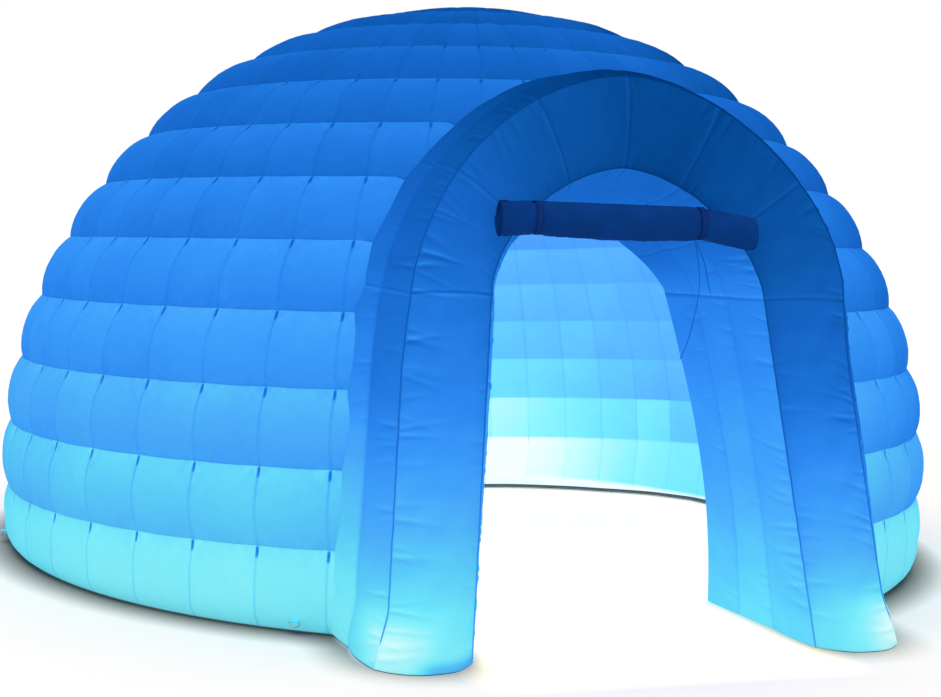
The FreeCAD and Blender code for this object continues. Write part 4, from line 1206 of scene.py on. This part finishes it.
def make_cord(name, points, node):
    data = bpy.data.curves.new(name, "CURVE")
    data.dimensions = "3D"
    data.bevel_depth = 0.0025
    data.bevel_resolution = 3
    data.resolution_u = 8
    data.use_fill_caps = True
    spline = data.splines.new("NURBS")
    spline.points.add(len(points) - 1)
    for point, place in zip(spline.points, points):
        point.co = (*place, 1)
    spline.order_u = 3
    spline.use_endpoint_u = True
    data.materials.append(CORD)
    obj = link(bpy.data.objects.new(name, data))
    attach(obj, "envelope")
    tag(obj, "cord", node)


def lamplit(graph):
    """Share of the lamps' light on the floor: in the room and the doorway."""
    spot = graph.node("SeparateXYZ", {0: graph.coords()})
    x, y = spot.outputs[0], graph.minus(spot.outputs[1], AXIS_Y)
    out = graph.math("SQRT", graph.math("ADD", graph.times(x, x), graph.times(y, y)))
    room = graph.math("MULTIPLY", graph.minus(2.30, out), 4.0, clamp=True)
    aside = graph.minus(0.86, graph.math("ABSOLUTE", x))
    aside = graph.math("MULTIPLY", aside, 5.0, clamp=True)
    ahead = graph.math("MULTIPLY", graph.math("ADD", y, 3.1), 2.5, clamp=True)
    front = graph.math("LESS_THAN", y, 0.0)
    return graph.math("MAXIMUM", room, graph.times(graph.times(aside, ahead), front))


FLOOR_HALF = 180
FLOOR_DEEP, FLOOR_PALE = (0.895, 0.84, 0.79), (0.905, 0.85, 0.80)
# LAMPLIGHT glows from the floor in the room and the doorway: a painted pool of light.
LAMPLIGHT = (0.88, 0.66, 0.26)  # turns the floor's blue reflection white


def make_stage():
    """The floor, with a painted contact shadow that darkens it close to the shelter and a
    painted pool of lamplight in the room and the doorway, with its sky and a soft lamp.
    """
    mesh = bpy.data.meshes.new("floor")
    corners = [(-1, -1), (1, -1), (1, 1), (-1, 1)]
    points = [(x * FLOOR_HALF, y * FLOOR_HALF, 0) for x, y in corners]
    mesh.from_pydata(points, [], [(0, 1, 2, 3)])
    floor = link(bpy.data.objects.new("floor", mesh))
    graph = Graph("pale_floor", Roughness=0.9, Specular_IOR_Level=0.1)
    grain = graph.noise(graph.coords(), 3.0, 3)
    pale = graph.ramp(grain, [(0.3, FLOOR_DEEP), (0.7, FLOOR_PALE)])
    in_lamps = lamplit(graph)
    far, close = (
        graph.node("AmbientOcclusion", {"Distance": reach}, samples=12).outputs["AO"]
        for reach in (0.20, 0.10)
    )
    # Painted contact shadow: ambient occlusion darkens the floor near the shelter, except
    # where the painted lamplight falls.
    open_sky = graph.math("MAXIMUM", graph.math("POWER", far, 1.9), in_lamps)
    graph.set(Base_Color=graph.mix(open_sky, (0, 0, 0), pale))
    # painted lamplight: the floor glows in the room and the doorway
    graph.set(Emission_Color=LAMPLIGHT, Emission_Strength=graph.times(in_lamps, close))
    mesh.materials.append(graph.mat)

    world = bpy.data.worlds.new("studio")
    world.use_nodes = True
    sky = world.node_tree.nodes["Background"].inputs
    sky["Color"].default_value = (1, 1, 1, 1)
    sky["Strength"].default_value = 1.0
    bpy.context.scene.world = world

    lamp = bpy.data.lights.new("soft_top", "SUN")
    lamp.energy = 0.9
    lamp.angle = math.radians(60)
    top = link(bpy.data.objects.new("soft_top", lamp))
    top.rotation_euler = (math.radians(18), math.radians(-14), 0)
    bpy.context.scene.view_settings.view_transform = "Standard"


# Door


def on_face(x, stand, level):
    """A point ahead of the front face, at a height above the ground."""
    up = (level - stand * math.sin(LEAN)) / math.cos(LEAN)
    return Vector((x, FRONT_Y, 0)) + FACE_UP * up + FACE_NORMAL * stand


ROLL_MIDDLE = on_face(0, ROLL["stand"], ROLL["level"])


def round_roll(up, out):
    """Points at distances up and out from the middle of the roll."""
    points = np.array(ROLL_MIDDLE) + up[..., None] * np.array(FACE_UP)
    return points + out[..., None] * np.array(FACE_NORMAL)


def roll_droop(x):
    """How far the rolled door droops, mostly past the right-hand tie."""
    droop = 0.036 * smooth(x, TIES[1] - 0.03, ROLL["x1"] + 0.02)
    return droop + 0.006 * smooth(-x, -TIES[0], -ROLL["x0"])


def make_roll():
    """The door, rolled up: one sheet wound into an oval spiral."""
    x0, x1 = ROLL["x0"], ROLL["x1"]
    theta = np.linspace(0, math.tau * ROLL_TURNS, int(ROLL_TURNS * 40) + 1)[:, None]
    x = np.linspace(x0, x1, 110)[None]
    pinch = sum(bell((x - tie) / 0.026) for tie in TIES)
    ends = smooth(x, x1 - 0.03, x1) + smooth(-x, -x0 - 0.03, -x0)
    cos, sin = np.cos(theta % math.tau), np.sin(theta % math.tau)
    folds = 0.030 * ripple(x, cos * 0.07, sin * 0.07, 0.12, 61)
    folds = folds + 0.020 * ripple(x * 3.2, cos * 0.05, sin * 0.05, 0.09, 62)
    size = (0.17 + 0.83 * theta / theta.max()) * (1 - 0.11 * pinch)
    size = size * (1 + folds) * (1 + 0.02 * ends)
    phase = theta + math.radians(-75) - math.tau * ROLL_TURNS
    up, out = 0.073 * np.cos(phase) * size, 0.052 * np.sin(phase) * size
    between = np.sin((x - TIES[0]) / (TIES[1] - TIES[0]) * math.pi).clip(0)
    up = up - roll_droop(x) - 0.010 * (up < 0) * between
    points = round_roll(up, out)
    points[..., 0] = x + 0.004 * ripple(theta * 0.05, 0 * x, 0 * x, 0.2, 63) * ends
    steps = np.linalg.norm(np.diff(points[:, 55], axis=0), axis=1)
    run = np.concatenate([[0], np.cumsum(steps)])[:, None]
    grid = {"points": points, "uv": pair(x, run)}
    roll = grid_piece("door_curtain", [grid], NAVY, 0.0021, body="door_roll")
    bake_thickness(roll)
    tag(roll, "curtain_cloth", "door_curtain_roll")
    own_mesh(roll)


def bake_thickness(obj):
    """Applies a piece's modifiers, so that its mesh is final."""
    bpy.context.view_layer.update()
    found = bpy.context.evaluated_depsgraph_get()
    mesh = bpy.data.meshes.new_from_object(obj.evaluated_get(found))
    obj.modifiers.clear()
    obj.data = mesh


CLEAR = 0.0035  # least gap between the face and a strip laid on it


def face_stand(tree, x, stand, level):
    """A point at this stand, or just clear of the cloth if that is further."""
    hit = tree.ray_cast(on_face(x, 0.25, level), -FACE_NORMAL, 0.5)
    if hit[0] is not None:
        stand = max(stand, 0.25 - hit[3] + CLEAR)
    return on_face(x, stand, level)


STRIP_STAND = 0.0405


def strip_points(xs, rows, place):
    """A grid of the points that place gives for each x and row."""
    return np.array([[place(x, row) for x in xs] for row in rows])


def band(name, tree, x0, x1, low, high, material):
    """A flat strip of cloth across the front, laid on whatever is behind it."""
    xs = np.linspace(x0, x1, max(6, int((x1 - x0) / 0.012)))
    levels = np.linspace(low, high, 9)

    def place(x, level):
        stand = STRIP_STAND + 0.0016 * float(ripple(x, level, 0.0, 0.10, 71))
        return face_stand(tree, x, stand, level - 1.3 * roll_droop(x))

    uv = pair(xs - x0, levels[:, None] - low)
    grid = {"points": strip_points(xs, levels, place), "uv": uv}
    return grid_piece(name, [grid], material, 0.002)


def make_door(face):
    """The rolled door, its header with two tabs, and its ties."""
    make_roll()
    tree = BVHTree.FromObject(face, bpy.context.evaluated_depsgraph_get())
    header = band("door_header", tree, *HEADER, 1.795, 1.841, NAVY)
    tag(header, "curtain_cloth", "door_header_strip")
    for hand, x0 in (("left", -0.586), ("right", 0.496)):
        tab = band(f"header_tab_{hand}", tree, x0, x0 + 0.040, 1.788, 1.846, NAVY_WEB)
        if hand == "left":
            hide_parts("door_header_tabs")
    make_drop()
    for hand, x in zip(("left", "right"), TIES):
        make_tie(hand, x)


def make_drop():
    """The stretch of door between its strip and the roll, which the lowered
    roll leaves behind it."""
    xs = np.linspace(*HEADER, 70)
    shares = np.linspace(0, 1, 25)
    top, low = 1.800, 1.740

    def place(x, share):
        stand = 0.0360 + 0.004 * share + 0.0012 * float(ripple(x, 0.0, 0.0, 0.16, 73))
        return on_face(x, stand, top + (low - top) * share)

    uv = pair(xs, (low - top) * shares[:, None])
    grid = {"points": strip_points(xs, shares, place), "uv": uv}
    strip = grid_piece("door_upper_edge", [grid], NAVY, 0.0015)
    bake_thickness(strip)
    strip.parent = None
    del strip["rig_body"]
    start, end = on_face(0, 0.03, top), on_face(0, 0.03, low)
    tuple(start)
    tuple(end)
    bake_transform(strip)
    tag(strip, "curtain_cloth")


TIE_WIDE = 0.025
TIE_ROUND = 0.39  # once round the roll


def make_tie(hand, x):
    """Webbing round the rolled door."""
    turn = np.linspace(0, math.tau, 72, endpoint=False)
    across = np.linspace(-TIE_WIDE / 2, TIE_WIDE / 2, 7)[:, None]
    grow = 1 + 0.012 * np.cos(3 * turn)
    up, out = 0.0695 * np.cos(turn) * grow, 0.0515 * np.sin(turn) * grow
    points = np.repeat(round_roll(up, out)[None], 7, axis=0)
    points[..., 0] = x + across + 0.002 * np.sin(2 * turn)
    run = np.linspace(0, 1, 73) * TIE_ROUND
    uv = pair(np.linspace(0, 1, 7)[:, None], run)
    grid = {"points": points, "wrap": True, "uv": uv}
    tie = grid_piece(f"tie_{hand}", [grid], NAVY_WEB, 0.0018, flip=True)
    bake_thickness(tie)
    tag(tie, "webbing", *(["tie_straps"] if hand == "left" else []))
    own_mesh(tie)


# CAD nodes that keep their shape

NODE_MATERIALS = (
    (WEB_CLOTH, ("ring_webs", "column_webs")),
    (BASE_CLOTH, ("base_panels", "intake_sleeve")),
    (FIBRE, ("curtain_hem_batten",)),
    (ZIP_TAPE, ("zip_tape",)),
    (ZINC, ("zip_slider", "zip_pull")),
    (STEEL, ("flap_pin", "motor_shaft", "motor_bearing", "housing_clips")),
    (STEEL, ("intake_clamp_band", *(f"anchor_ring_{k}" for k in range(1, 7)))),
    (ALUMINIUM, ("motor_can", "blower_rails")),
    (RUBBER, ("blower_feet",)),
    (lamp_material(), ("led_strip", "led_foot_modules")),
)


def finish_nodes():
    """Gives each CAD node that shows its material: black moulding if not listed."""
    chosen = {name: material for material, names in NODE_MATERIALS for name in names}
    for name, obj in nodes.items():
        if not obj.hide_render:
            obj.data.materials.clear()
            obj.data.materials.append(chosen.get(name, BLACK))


# Build

make_camera()
make_cord("tie_tail_long", LONG_TAIL, "tie_cord_long")
make_cord("tie_tail_short", SHORT_TAIL, "tie_cord_short")
make_stage()
make_dome()
arch_face = make_arch()
make_webs()
make_tabs()
make_flap()
make_door(arch_face)
finish_nodes()
